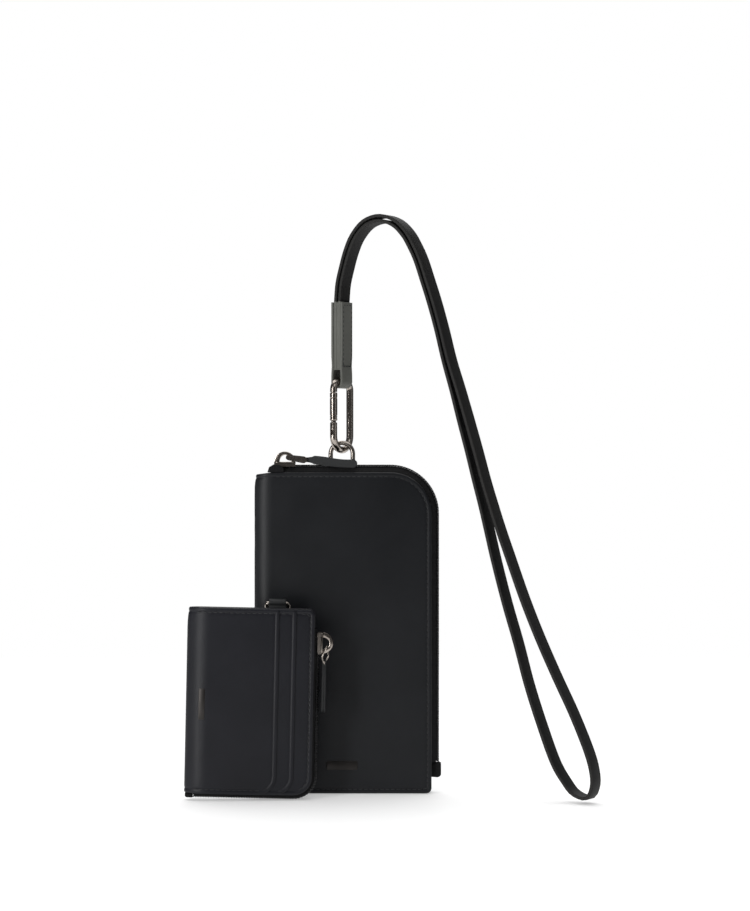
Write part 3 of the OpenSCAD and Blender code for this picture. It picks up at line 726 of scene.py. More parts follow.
ring_low, ring_high = low_high("pouch_d_ring")
RING_WIRE = 2.6
ring_mid = (ring_low + ring_high) / 2
ring_radius = (ring_high[0] - ring_low[0] - RING_WIRE) / 2
ring_bar_z = ring_low[2] + RING_WIRE / 2
ring_leg = ring_high[2] - RING_WIRE / 2 - ring_radius - ring_bar_z
add_piece("pouch_ring_wire", d_ring(ring_radius, ring_leg, RING_WIRE,
                                    lambda a, c: (ring_mid[0] + a, ring_mid[1], ring_bar_z + c)),
          "dark_nickel", "d_ring", ["pouch_d_ring"])


def ring_loop(width, bar_y, face_y, inner_r, thick, stem, place):
    """A leather strip that goes up the panel, round the ring's bar and down again onto itself."""
    mid = inner_r + thick / 2
    front, back = face_y + thick / 2, face_y + 1.5 * thick
    line = [(front, z) for z in np.linspace(-stem, -mid, 8)]
    line += [(front + 0.1, -mid * 0.5)]
    line += arc((bar_y, 0), mid, 180, -60, 20)
    line += [(back + 0.25, -mid - 0.9)] + [(back, z) for z in np.linspace(-mid - 1.8, -stem, 7)]
    path = [place(0, y, z) for y, z in line]
    across = unit(np.array(place(1, 0, 0)) - np.array(place(0, 0, 0)))
    return ribbon(path, across, round_section(width, thick, 0.4))


loop_low, loop_high = low_high("pouch_ring_loop")
LOOP_T = 1.2
add_piece("pouch_ring_strip",
          ring_loop(loop_high[0] - loop_low[0], ring_mid[1], loop_low[1], 1.45, LOOP_T, 24,
                    lambda a, y, z: (ring_mid[0] + a, y, ring_bar_z + z)),
          "trim_leather", "phone_pouch", ["pouch_ring_loop"])

# %% [markdown]
# ## Leather panels
# A panel is a sheet with a worked edge: the leather is turned over, sewn 2.4 mm in, and the seam sinks into a
# shallow groove. It is built from U-shaped rows that follow the three free edges, each a little further in
# and at its own depth. Flat sizes come first, and a place function wraps the sheet onto the object, so the
# same code makes the front, and the back with its rounded fold.

# %% Panel helper
EDGE_PROFILE = [(8, 0), (5, 0), (4, 0.02), (3.1, 0.05), (2.75, 0.16), (2.4, 0.27), (2.05, 0.16), (1.7, 0.02),
                (1.1, -0.03), (0.6, 0.03), (0.25, 0.2), (0.06, 0.45)]
INNER_PROFILE = [(0, 0), (0.06, 0.3), (0.3, 0.55), (0.8, 0.7), (8, 0.7)]


def u_row(width, height, top_r, low_r, inset, arm, side):
    """Along the top, round the corner, down the far side and back along the bottom, at one inset."""
    top, low, far = height - inset, inset, width - inset
    rt, rl = max(top_r - inset, 0.0), max(low_r - inset, 0.0)
    row = [(s, top) for s in np.linspace(0, far - rt, arm + 1)]
    row += arc((far - rt, top - rt), rt, 90, 0, 16)[1:]
    row += [(far, z) for z in np.linspace(top - rt, low + rl, side + 1)[1:]]
    row += arc((far - rl, low + rl), rl, 0, -90, 8)[1:]
    row += [(s, low) for s in np.linspace(far - rl, 0, arm + 1)[1:]]
    return row


def panel(width, height, top_r, low_r, thick, place, arm, side=44, inner_rows=(14, 22, 32, 44),
          edge=EDGE_PROFILE, inner=None):
    """place(s, depth, z) sets a flat point on the object, and depth 0 is the outer face."""
    deep = list(inner_rows)
    if inner is None:
        inner = [(0, thick / 2)] + [(i, thick - 0.7 + d) for i, d in INNER_PROFILE[1:]]
    outer = [(d, 0) for d in reversed(deep)] + edge
    inner = inner + [(d, thick) for d in deep]
    rows = [[(s, depth, z) for s, z in u_row(width, height, top_r, low_r, inset, arm, side)]
            for inset, depth in outer + inner]
    points, faces = loft(rows, round_rings=False, ends="open")
    shapes = [(points, faces)]
    for inset, depth in (outer[0], inner[-1]):
        shapes.append(middle_patch(width, height, inset, depth, arm, side))
    points, faces = join_shapes(shapes)
    return [place(s, depth, z) for s, depth, z in points], faces


def middle_patch(width, height, inset, depth, arm, side):
    s_marks = np.linspace(0, width - inset, arm + 1)
    z_marks = np.linspace(height - inset, inset, side + 1)
    rings = [[(s, depth, z) for s in s_marks] for z in z_marks]
    return loft(rings, round_rings=False, ends="open")


def edge_line(width, height, top_r, low_r, inset, start):
    """The line of a seam: along the top, the far side and the bottom, no further left than start."""
    return [p for p in u_row(width, height, top_r, low_r, inset, 30, 30) if p[0] >= start]


def soft(x, z, size_mm, amount, seed):
    """Slow, gentle unevenness of a hand-finished panel, in millimetres."""
    return amount * noise.noise((x / size_mm, seed, z / size_mm))


print("a turned edge sinks by up to", max(depth for inset, depth in EDGE_PROFILE[:8]), "mm at the seam")

# %% [markdown]
# ## The phone pouch
# One hide wraps the pouch: the back and the rounded fold stay with the body. The front opens about a diagonal
# line, from the start of the zip to its end, but here its pieces hang on no body. The fold is softer than a
# half circle, so its highlight is broad. Near the top it is pinched flat by the seam.

# %% Pouch leather
shell_low, shell_high = low_high("pouch_shell")
pouch_l, pouch_r, pouch_top = shell_low[0], shell_high[0], shell_high[2]
FACE = shell_high[1]
LEATHER = 1.5
CORNER, LOW_CORNER = 23.0, 3.0
FOLD_REACH = 10.0
front_left = pouch_l + FOLD_REACH
fold_len = 24.0
front_w = pouch_r - front_left
PINCH_REACH = 5.0


def front_relief(x, z):
    inside = min(1.0, max(0.0, (pouch_r - x) / 14)) * min(1.0, max(0.0, (pouch_top - z) / 14))
    inside *= min(1.0, max(0.0, (z - 2) / 12)) * min(1.0, max(0.0, (x - front_left) / 10))
    return -inside * (0.25 + soft(x, z, 46, 0.35, 3.1))


def place_front(s, depth, z):
    x = front_left + s
    return (x, -FACE + depth + front_relief(x, z), z)


def place_back(s, depth, z):
    """s runs from the front edge round the fold and over the back."""
    if s <= fold_len:
        a = math.pi * s / fold_len
        r_x, r_y = FOLD_REACH - depth, FACE - depth
        near_top = math.exp(-((pouch_top - z) / PINCH_REACH) ** 2)
        pinch = 0.9 * near_top * math.sin(a) ** 2
        x = front_left - r_x * math.sin(a) + pinch
        drop = 1.1 * math.sin(a) * near_top
        return (x, -r_y * math.cos(a), z - drop)
    x = front_left + s - fold_len
    return (x, FACE - depth - front_relief(x, z), z)


back = panel(fold_len + front_w, pouch_top, CORNER, LOW_CORNER, LEATHER, place_back, arm=70)
add_piece("pouch_back_leather", back, "pouch_leather", "phone_pouch", ["pouch_shell"])
flap_axis = unit(np.array([0.8726, 0, 0.4885]))


def blend_front(piece):
    """Bakes a front piece's placement into its points."""
    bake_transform(piece)
    return piece


front = panel(front_w, pouch_top, CORNER, LOW_CORNER, LEATHER, place_front, arm=52, side=70,
              inner_rows=(12, 17, 23, 29, 35, 41))
blend_front(add_piece("pouch_front_leather", front, "pouch_leather", None, ["pouch_front_flap"]))
SEAM_IN = 2.4
seam = edge_line(front_w, pouch_top, CORNER, LOW_CORNER, SEAM_IN, 1.5)
blend_front(add_piece("pouch_front_stitches", stitches(seam, place_front, STITCH_SINK), "stitch_thread"))
seam = edge_line(fold_len + front_w, pouch_top, CORNER, LOW_CORNER, SEAM_IN, fold_len)
add_piece("pouch_back_stitches", stitches(seam, place_back, STITCH_SINK), "stitch_thread", "phone_pouch")


# %% Closed seam along the bottom of the pouch
def bottom_strip():
    left, right, low, high = front_left - 2, pouch_r - 3.2, 0.25, 2.5
    outline = [(left, low), (right, low), (right, high), (left, high)]
    return plate(outline, LEATHER - FACE, FACE - LEATHER, 0.2, plain)


add_piece("pouch_bottom_seam", bottom_strip(), "pouch_leather", "phone_pouch")

# %% [markdown]
# ## Zips
# A zip is a woven tape on each side, folded toward the middle, with a nylon coil sewn to its edge. The closed
# coils lock into one band of fine teeth. Each coil is a real helix, flattened a little, and the two are half
# a turn apart. Both zips run straight, round a corner, and straight again, so one helper measures along them.

# %% Zip helpers
def zip_run(start, center, radius, turn_from, turn_to, end):
    """Returns the length of the line and a function: distance along, distance out -> flat point."""
    first_out = np.array([math.cos(math.radians(turn_from)), math.sin(math.radians(turn_from))])
    last_out = np.array([math.cos(math.radians(turn_to)), math.sin(math.radians(turn_to))])
    center = np.array(center, float)
    arc_start, arc_end = center + radius * first_out, center + radius * last_out
    first = np.linalg.norm(arc_start - start)
    bend = radius * abs(math.radians(turn_to - turn_from))
    total = first + bend + np.linalg.norm(np.array(end) - arc_end)

    def at(s, u):
        if s <= first:
            return np.array(start) + unit(arc_start - start) * s + first_out * u
        if s <= first + bend:
            a = math.radians(turn_from + (turn_to - turn_from) * (s - first) / bend)
            return center + (radius + u) * np.array([math.cos(a), math.sin(a)])
        return arc_end + unit(np.array(end) - arc_end) * (s - first - bend) + last_out * u

    return total, at


def smooth_step(t):
    t = min(1.0, max(0.0, t))
    return t * t * (3 - 2 * t)


TAPE_T = 0.6
TAPE_TUCK = 7.0
TAPE_RIDGE = 2.1
TAPE_STEP = 1.3
RIBS = 4


def tape(total, at, side, in_y, coil_out, place):
    """A tape folded like a gable toward the coil, with a few woven ribs on its slope."""
    low, high = np.array([0.2, in_y]), np.array([coil_out, TAPE_RIDGE])
    normal = unit([high[1] - low[1], low[0] - high[0]]) * -1
    section = [(-TAPE_TUCK, in_y), tuple(low)]
    for k in range(1, 2 * RIBS):
        section.append(tuple(low + (high - low) * k / (2 * RIBS) + normal * (0.1 if k % 2 else -0.04)))
    section += [tuple(high), (coil_out, TAPE_RIDGE - TAPE_T), (0, in_y - TAPE_T), (-TAPE_TUCK, in_y - TAPE_T)]
    rings = []
    for s in np.linspace(0, total, int(total / TAPE_STEP)):
        rings.append([place(at(s, u)[0], side * y, at(s, u)[1]) for u, y in section])
    return loft(rings)


COIL_PITCH = 1.4
COIL_H = 1.8
COIL_MID_Y = 1.02
COIL_HALF_Y = 0.74
COIL_PARTS = 9        # points for each turn
COIL_GATHER = 5.5     # how far the coil takes to reach the middle at its open end
OPEN_DROP = 1.8       # how much lower, and how much further out, the open end lies
OPEN_OUT = 2.6
WIRE = 0.3
CORE = 0.54           # the cord inside the coil
CORE_MID_Y = 1.1
CORE_SINK = 0.45


def coil(total, at, side, coil_out, place, start=0.0):
    """A helix of nylon wire round a cord. The two coils of a zip are half a turn apart."""
    wire, core = [], []
    steps = int((total - start) / COIL_PITCH * COIL_PARTS)
    for k in range(steps):
        s = start + (total - start) * k / steps
        a = 2 * math.pi * s / COIL_PITCH + (math.pi if side > 0 else 0)
        opened = 1 - smooth_step((s - start) / COIL_GATHER)
        base = coil_out - OPEN_DROP * opened
        rise = (COIL_H / 2 + (COIL_H / 2 - WIRE) * math.sin(a)) * (1 - 0.4 * opened)
        flat = at(s, base + rise)
        across = COIL_MID_Y + COIL_HALF_Y * math.cos(a) + OPEN_OUT * opened
        wire.append(place(flat[0], side * across, flat[1]))
        if k % COIL_PARTS == 0:
            flat = at(s, base + COIL_H / 2 - CORE_SINK)
            core.append(place(flat[0], side * (CORE_MID_Y + OPEN_OUT * opened), flat[1]))
    return join_shapes([tube(wire, WIRE, 5), tube(core, CORE, 8)])


print("turns of coil in a hand's width of zip:", round(90 / COIL_PITCH))


# %% Zip of the pouch
ZIP_START_X = pouch_l + 9.5
ZIP_END_Z = 17.0
POUCH_COIL_OUT = 2.6
pouch_zip = zip_run((ZIP_START_X, pouch_top), (pouch_r - CORNER, pouch_top - CORNER), CORNER, 90, 0,
                    (pouch_r, ZIP_END_Z))
IN_Y = FACE - LEATHER
blend_front(add_piece("zip_tape_front", tape(*pouch_zip, -1, IN_Y, POUCH_COIL_OUT, plain), "zip_tape", None,
                      ["pouch_zip_tape_front"]))
add_piece("zip_tape_back", tape(*pouch_zip, 1, IN_Y, POUCH_COIL_OUT, plain), "zip_tape", "phone_pouch",
          ["pouch_zip_tape_back"])
blend_front(add_piece("zip_coil_front", coil(*pouch_zip, -1, POUCH_COIL_OUT, plain), "zip_coil",
                      None, ["pouch_zip_coil_front"]))
add_piece("zip_coil_back", coil(*pouch_zip, 1, POUCH_COIL_OUT, plain), "zip_coil", "phone_pouch",
          ["pouch_zip_coil_back"])


# %% Folded tape ends beside the slider
def tape_end(side):
    left, up = ZIP_START_X, pouch_top + 0.2
    outline = [(left - 2, up), (left + 7, up), (left + 7, up + 2.2), (left + 5.2, up + 3.6),
               (left + 3.4, up + 4.1), (left + 1, up + 3.9), (left - 1.2, up + 2.6)]
    return plate(outline, side * (FACE - 0.1), side * (FACE - 1.3), -0.3 * side, plain)


blend_front(add_piece("zip_end_fold_front", tape_end(-1), "zip_tape", None, ["pouch_zip_start_front"]))
add_piece("zip_end_fold_back", tape_end(1), "zip_tape", "phone_pouch", ["pouch_zip_start_back"])

tab_low, tab_high = low_high("pouch_zip_end_tab")


def lower_tab():
    left, right, low, high, corner = tab_low[0] - 0.6, tab_high[0], tab_low[2], tab_high[2], 2.2
    outline = [(left, low + 0.3), (right - corner, low)]
    outline += arc((right - corner, low + corner), corner, -90, 0, 6)[1:]
    outline += [(right, high - 0.5), (right - 0.5, high), (left, high)]
    return plate(outline, tab_low[1], tab_high[1], 0.5, plain)


add_piece("zip_lower_tab", lower_tab(), "zip_tape", "phone_pouch", ["pouch_zip_end_tab"])

# %% [markdown]
# ## Sliders and pulls
# Both sliders are cast in one shape: a top plate with two flanges that hold the coil, a post, and an arch for
# the link. They are made in the slider's own directions: a along its travel, y across, and c outward. The
# place function turns them onto either zip.

# %% Slider
def slider_body(at, low_gap):
    flat = lambda a, d, c: at(a, c, d)
    top = plate(round_section(12, 7.4, 2.2, 5), 2.1, 3.3, 0.4, flat)
    flanges = [plate([(-5.6, 1.2), (-4.6, 0.9), (4.9, 0.9), (5.7, 1.4), (5.7, 2.6), (-5.6, 2.6)],
                     side * 2.4, side * 3.7, 0.28 * side, at) for side in (-1, 1)]
    post = plate([(-5.4, -low_gap), (-2.8, -low_gap), (-2.8, 2.3), (-5.4, 2.3)], -0.9, 0.9, 0.15, at)
    lower = plate(round_section(10.8, 2.2, 1.0, 4), -low_gap - 0.5, -low_gap + 0.05, 0.15, flat)
    return join_shapes([top, post, lower] + flanges)


def slider_bridge(at):
    """A round arch over an oval window, both from the top plate up."""
    foot, radius, window_x, window_a, window_c = 3.2, 5.9, 0.3, 3.3, 3.9
    arch = arc((0, foot), radius, 0, 180, 24)
    window = [(window_x + window_a * math.cos(a), foot + window_c * math.sin(a))
              for a in np.linspace(math.pi, 0, 21)]
    return plate(arch + window, -0.95, 0.95, 0.38, at)


CAST_SHARP = 35       # edges of a casting that turn by more than this stay sharp
LINK_L = 8.4
LINK_BAR = (2.1, 5.7)
LINK_DROP = 1.3
link_pin = (LINK_BAR[0] + math.sqrt(LINK_L ** 2 - LINK_DROP ** 2), LINK_BAR[1] - LINK_DROP)


def plain_link(at):
    """Two cheeks that pass the arch on either side, joined by a bar through its window."""
    way = unit(np.array(link_pin) - np.array(LINK_BAR))
    turn = math.degrees(math.atan2(way[1], way[0]))
    outline = arc(LINK_BAR, 1.25, turn + 90, turn + 270, 9) + arc(link_pin, 1.65, turn - 90, turn + 90, 9)
    cheeks = [plate(outline, side * 1.2, side * 2.2, 0.3 * side, at) for side in (-1, 1)]
    bar = tube([at(LINK_BAR[0], y, LINK_BAR[1]) for y in np.linspace(-1.4, 1.4, 4)], 0.7, 12)
    return join_shapes(cheeks + [bar])


slide_low, slide_high = low_high("pouch_slider_body")
pouch_slider = ((slide_low[0] + slide_high[0]) / 2, pouch_top + POUCH_COIL_OUT)


def at_pouch_slider(a, y, c):
    return (pouch_slider[0] + a, y, pouch_slider[1] + c)


add_piece("slider_casting", slider_body(at_pouch_slider, 1), "dark_nickel", "zip_slider",
          ["pouch_slider_body"], CAST_SHARP)
add_piece("slider_arch", slider_bridge(at_pouch_slider), "dark_nickel", "zip_slider",
          ["pouch_slider_bridge"], CAST_SHARP)
add_piece("pull_link_bar", plain_link(at_pouch_slider), "dark_nickel", "pull_link",
          ["pouch_pull_link"], CAST_SHARP)
add_piece("pull_rivet", make_pin(2.25, 0.6, lambda b: at_pouch_slider(link_pin[0], b, link_pin[1])),
          "dark_badge", "pull_link", ["pouch_pull_pin"])


# %% Leather pull of the pouch
PULL_L, PULL_H, PULL_T = 30.0, 4.4, 1.7
PULL_LEAN, PULL_DROOP = 3.6, 2.1


def pull_outline():
    blade_r = PULL_H / 2
    line = arc((0, 0), 1.3, 120, 240, 8)
    line += [(2.6, -1.15), (4.6, -1.6), (6.0, -blade_r), (12, -blade_r - 0.15), (20, -blade_r)]
    line += arc((PULL_L - blade_r, 0), blade_r, -90, 90, 12)
    line += [(20, blade_r), (12, blade_r + 0.1), (6.6, blade_r)]
    line += [(6.0, blade_r - 0.1), (4.9, 1.5), (2.6, 1.15)]
    return evenly(line + [line[0]], 0.7)[:-1]


def at_pouch_pull(a, y, c):
    """The pull leans forward off the coil and droops a little toward its end."""
    far = smooth_step((a - 3) / 22)
    forward = y * (1 - 0.1 * far) - PULL_LEAN * far
    height = c * (1 - 0.06 * far) - PULL_DROOP * far
    return at_pouch_slider(link_pin[0] + a, forward, link_pin[1] + height)


def leather_pull(outline, half, place):
    """Two leathers bonded back to back: a shallow groove shows between them at the edge."""
    halves = [plate(outline, side * 0.04, side * half, 0.22 * side, place) for side in (-1, 1)]
    return join_shapes(halves)


add_piece("pull_leather", leather_pull(pull_outline(), PULL_T / 2, at_pouch_pull), "trim_leather", "pull_tab",
          ["pouch_pull_tab"])

# %% [markdown]
# ## The card case
# It is built the same way at a smaller size and leans by a degree. Its directions come from the CAD: the
# zip's travel gives the way down, and the shell's own points give the corner. Two more leathers lie on its
# front and make the card slots. Each has a turned edge that curves in at the bottom.

# %% Card case directions
card_zip = next(j for j in frame["joints"] if j["name"] == "card_zip_slide")
card_up = -unit(card_zip["axis"])
card_right = np.array([card_up[2], 0, -card_up[0]])
card_points = np.array([v.co for v in frame["nodes"]["card_shell"].data.vertices]) / MM
card_corner = card_right * (card_points @ card_right).min() + card_up * (card_points @ card_up).min()
card_mid_y = (card_points[:, 1].min() + card_points[:, 1].max()) / 2
CARD_W = float(np.ptp(card_points @ card_right))
CARD_H = float(np.ptp(card_points @ card_up))
CARD_HALF = float(np.ptp(card_points[:, 1])) / 2
CARD_LEATHER = 1.1
CARD_CORNER, CARD_TOP_R = 10.0, 3.5
CARD_FOLD = 8.0
CARD_FOLD_LEN = 21.0
SLOT_T = 0.9


def on_card(u, y, v):
    spot = card_corner + card_right * u + card_up * v
    return (spot[0], card_mid_y + y, spot[2])


print("card case", round(CARD_W, 1), "x", round(CARD_H, 1), "x", round(2 * CARD_HALF, 1), "mm")


# %% Card case leather
def card_front_y(u):
    """Depth of the case's front, from the fold to the zip."""
    if u >= CARD_FOLD:
        return CARD_HALF
    return CARD_HALF * math.sqrt(max(0.0, 1 - ((CARD_FOLD - u) / CARD_FOLD) ** 2))


def card_pinch(u, v):
    return 0.7 * math.exp(-((CARD_H - v) / 5.0) ** 2) * max(0.0, 1 - u / 12)


def place_card_front(s, depth, v):
    u = CARD_FOLD + s
    return on_card(u, depth - CARD_HALF - 0.1 * soft(u, v, 30, 1, 7.7), v)


def place_card_back(s, depth, v):
    if s <= CARD_FOLD_LEN:
        a = math.pi * s / CARD_FOLD_LEN
        u = CARD_FOLD - (CARD_FOLD - depth) * math.sin(a)
        return on_card(u + card_pinch(u, v), -(CARD_HALF - depth) * math.cos(a), v)
    return on_card(CARD_FOLD + s - CARD_FOLD_LEN, CARD_HALF - depth, v)


card_front_w = CARD_W - CARD_FOLD
card_back = panel(CARD_FOLD_LEN + card_front_w, CARD_H, CARD_TOP_R, CARD_CORNER, CARD_LEATHER,
                  place_card_back, arm=56, side=30, inner_rows=(12, 18, 25, 30))
add_piece("card_wrap_leather", card_back, "card_leather", "card_case", ["card_shell"])
card_front = panel(card_front_w, CARD_H, CARD_TOP_R, CARD_CORNER, CARD_LEATHER, place_card_front,
                   arm=30, side=30, inner_rows=(12, 18, 24, 29))
add_piece("card_front_leather", card_front, "card_leather", "card_case")


# %% Card slots
MIDDLE_LEFT, MIDDLE_RIGHT = 9.0, 60.0
OUTER_LEFT, OUTER_RIGHT = 2.2, 50.7
SLOT_TOP_R = 2.0


def place_slot(left, rise):
    """A slot leather lies on what is under it and runs out to nothing at the fold."""
    def place(s, depth, v):
        u = left + s
        lift = rise * smooth_step((u - left + 1) / 11)
        wave = 0.12 * soft(u, v, 34, 1, 5.2)
        return on_card(u + card_pinch(u, v) * 0.6, -card_front_y(u) - lift + depth + wave, v)
    return place


place_middle = place_slot(MIDDLE_LEFT, SLOT_T)
place_outer = place_slot(OUTER_LEFT, 2 * SLOT_T)


def slot_leather(width, place):
    return panel(width, CARD_H, SLOT_TOP_R, CARD_CORNER, SLOT_T, place,
                 arm=26, side=30, inner_rows=(10, 15, 20))


add_piece("card_middle_slot", slot_leather(MIDDLE_RIGHT - MIDDLE_LEFT, place_middle),
          "card_leather", "card_case", ["card_slot_middle"])
add_piece("card_outer_slot", slot_leather(OUTER_RIGHT - OUTER_LEFT, place_outer),
          "card_leather", "card_case", ["card_slot_outer"])


def card_seams():
    """Stitches show on whichever leather lies on top."""
    rows = []
    # near the bottom the turned edges curve in, so the rows end earlier there
    for v, outer_inset, middle_inset in ((CARD_H - SEAM_IN, 3, 1.5), (SEAM_IN, 9, 5)):
        line = [(3.0, v), (OUTER_RIGHT - OUTER_LEFT - outer_inset, v)]
        rows.append(stitches(line, place_outer, STITCH_SINK))
        line = [(OUTER_RIGHT - MIDDLE_LEFT + 0.6, v), (MIDDLE_RIGHT - MIDDLE_LEFT - middle_inset, v)]
        rows.append(stitches(line, place_middle, STITCH_SINK))
    line = edge_line(card_front_w, CARD_H, CARD_TOP_R, CARD_CORNER, SEAM_IN, MIDDLE_RIGHT - CARD_FOLD + 0.8)
    rows.append(stitches(line[:-1], place_card_front, STITCH_SINK))
    line = edge_line(CARD_FOLD_LEN + card_front_w, CARD_H, CARD_TOP_R, CARD_CORNER, SEAM_IN, CARD_FOLD_LEN)
    rows.append(stitches(line, place_card_back, STITCH_SINK))
    return join_shapes(rows)


add_piece("card_stitches", card_seams(), "stitch_thread", "card_case")


def card_top_seam():
    left, right, low, high = CARD_FOLD - 2, CARD_W - CARD_TOP_R, CARD_H - 2, CARD_H - 0.2
    half = CARD_HALF - CARD_LEATHER
    return plate([(left, low), (right, low), (right, high), (left, high)], -half, half, 0.2, on_card)


add_piece("card_top_seam", card_top_seam(), "card_leather", "card_case")

# %% Zip of the card case
CARD_COIL_OUT = 1.0
CARD_ZIP_TOP = 91.0
card_slider_v = 83.2
card_line = zip_run((CARD_W, CARD_ZIP_TOP), (CARD_W - CARD_CORNER, CARD_CORNER), CARD_CORNER, 0, -90,
                    (5.0, 0.0))
card_in_y = CARD_HALF - CARD_LEATHER
for side, word in ((-1, "front"), (1, "back")):
    add_piece("card_tape_" + word, tape(*card_line, side, card_in_y, CARD_COIL_OUT, on_card), "zip_tape",
              "card_case", ["card_zip_tape_" + word])
    add_piece("card_coil_" + word, coil(*card_line, side, CARD_COIL_OUT, on_card, start=2.5),
              "zip_coil", "card_case", ["card_zip_coil_" + word])
stub = [(0.6, -0.4), (0.6, -1.6)] + arc((1.9, -1.5), 1.3, 180, 270, 5)[1:] + [(4.8, -2.8), (4.8, -0.4)]
add_piece("card_zip_stub", plate(stub, -2.2, 2.2, 0.5, on_card), "zip_tape", "card_case",
          ["card_zip_end_tab"])


# %% Slider, link and pull of the card case
def at_card_slider(a, y, c):
    return on_card(CARD_W + CARD_COIL_OUT + c, y, card_slider_v - a)


def drop_link(at):
    """A wire drop: through the arch's window, then one strand on each side down to the pin."""
    strands = []
    for side in (-1, 1):
        strand = []
        for t in np.linspace(0, 1, 12):
            a = LINK_BAR[0] + (link_pin[0] - LINK_BAR[0]) * t
            c = LINK_BAR[1] + (link_pin[1] - LINK_BAR[1]) * t
            belly = 0.2 + 1.35 * math.sin(math.pi * t ** 1.5)
            strand.append((a, side * (1.45 - 0.15 * t), c + side * belly))
        strands.append(strand)
    foot = [(link_pin[0] + 0.9, y, link_pin[1]) for y in (-0.95, 0, 0.95)]
    top = [(LINK_BAR[0] - 0.3, y, LINK_BAR[1]) for y in (0.9, 0, -0.9)]
    line = strands[0] + foot + strands[1][::-1] + top
    return tube([at(*p) for p in line], 0.5, 10, closed=True)


add_piece("card_slider_casting", slider_body(at_card_slider, 0.1), "dark_nickel", "card_slider",
          ["card_slider_body"], CAST_SHARP)
add_piece("card_slider_arch", slider_bridge(at_card_slider), "dark_nickel", "card_slider",
          ["card_slider_bridge"], CAST_SHARP)
add_piece("card_link_drop", drop_link(at_card_slider), "dark_nickel", "card_pull_link", ["card_pull_link"])
add_piece("card_pull_rivet", make_pin(1.5, 0.6, lambda b: at_card_slider(link_pin[0], b, link_pin[1])),
          "dark_nickel", "card_pull_link", ["card_pull_pin"])


def card_pull():
    """It hangs with its edge outward: a thin eye on the pin, then a wide blade of two leathers."""
    length, half_w, half_t = 28.0, 3.5, 1.15
    place = lambda a, d, y: at_card_slider(link_pin[0] + a, y, link_pin[1] + d)
    edge = [(-1.2, 0.8), (2, 0.85), (4.5, 2.4), (7, half_w - 0.4), (14, half_w)]
    outline = [(a, -y) for a, y in edge] + [(length - half_w, -half_w + 0.3)]
    outline += arc((length - half_w, 0), half_w - 0.3, -90, 90, 12) + edge[::-1]
    return leather_pull(evenly(outline + [outline[0]], 0.8)[:-1], half_t, place)


add_piece("card_pull_leather", card_pull(), "trim_leather", "card_pull_tab", ["card_pull_tab"])

# %% Ring of the card case
CARD_RING_WIRE = 2.2
card_ring_u, card_ring_v, card_ring_y = 48.9, CARD_H + 2.4, CARD_HALF + 1.7
card_ring_tilt = math.radians(25)


def at_card_ring(a, c):
    y, v = c * math.sin(card_ring_tilt), c * math.cos(card_ring_tilt)
    return on_card(card_ring_u + a, card_ring_y + y, card_ring_v - v)


add_piece("card_ring_wire", d_ring(6.05, 4.0, CARD_RING_WIRE, at_card_ring), "dark_nickel", "card_d_ring",
          ["card_d_ring"])
add_piece("card_ring_strip",
          ring_loop(9.3, card_ring_y, CARD_HALF, 1.25, LOOP_T, 9,
                    lambda a, y, z: on_card(card_ring_u + a, y, card_ring_v + z)),
          "trim_leather", "card_case", ["card_ring_loop"])

# %% [markdown]
# ## Badges
# Each case carries a small plain bar of dark metal, with softened edges and no mark of any kind.

# %% Badges
badge_low, badge_high = low_high("pouch_badge")
bar = round_section(badge_high[0] - badge_low[0], badge_high[2] - badge_low[2], 0.8, 4)
badge_mid = (badge_low + badge_high) / 2
add_piece("pouch_badge_bar", plate(bar, badge_low[1], badge_high[1] + 0.2, 0.2,
                                   lambda a, d, c: (badge_mid[0] + a, d, badge_mid[2] + c)),
          "dark_badge", "phone_pouch", ["pouch_badge"])
add_piece("card_badge_bar", plate(round_section(3.4, 17, 0.7, 4), -0.25, 0.4, 0.15,
                                  lambda a, d, c: place_outer(6.9 + a, d, 49 + c)),
          "dark_badge", "card_case", ["card_badge"])

# %% [markdown]
# ## Linings and the inner pocket
# The inside is lined with a fine woven cloth, bonded to the leather and stopped short of the zip. A slip
# pocket is sewn to the back lining. They show only when the pouch opens, but the pouch is finished inside.

# %% Linings
LINING_T = 0.5
LINING_IN = 7.5
LINING_LOW = 2.6
GLUE = 0.02
CLOTH_EDGE = [(5, 0), (0.3, 0), (0.06, 0.06)]
CLOTH_INNER = [(0, 0.25), (0.06, 0.44), (0.3, 0.5), (5, 0.5)]


def lining(width, height, top_r, low_r, place):
    """place(s, depth, z) as for a panel; depth 0 is the side that one sees."""
    return panel(width, height, top_r, low_r, LINING_T, place,
                 arm=30, side=50, inner_rows=(10, 18, 26, 34), edge=CLOTH_EDGE, inner=CLOTH_INNER)


def pouch_lining(side):
    y = IN_Y - LINING_T - GLUE
    width, height = pouch_r - LINING_IN - front_left, pouch_top - LINING_IN - LINING_LOW
    return lining(width, height, CORNER - LINING_IN, 2,
                  lambda s, d, z: (front_left + s, side * (y + d), z + LINING_LOW))


blend_front(add_piece("lining_front_cloth", pouch_lining(-1), "lining_fabric", None,
                      ["pouch_lining_front", "pouch_lining_flap"]))
add_piece("lining_back_cloth", pouch_lining(1), "lining_fabric", "phone_pouch", ["pouch_lining_back"])

# %% Slip pocket
pocket_low, pocket_high = low_high("pouch_inner_pocket")


def upright(left, right, low, high, near, far, edge):
    """A plate with four straight sides that stands square to the frame."""
    return plate([(left, low), (right, low), (right, high), (left, high)], near, far, edge, plain)


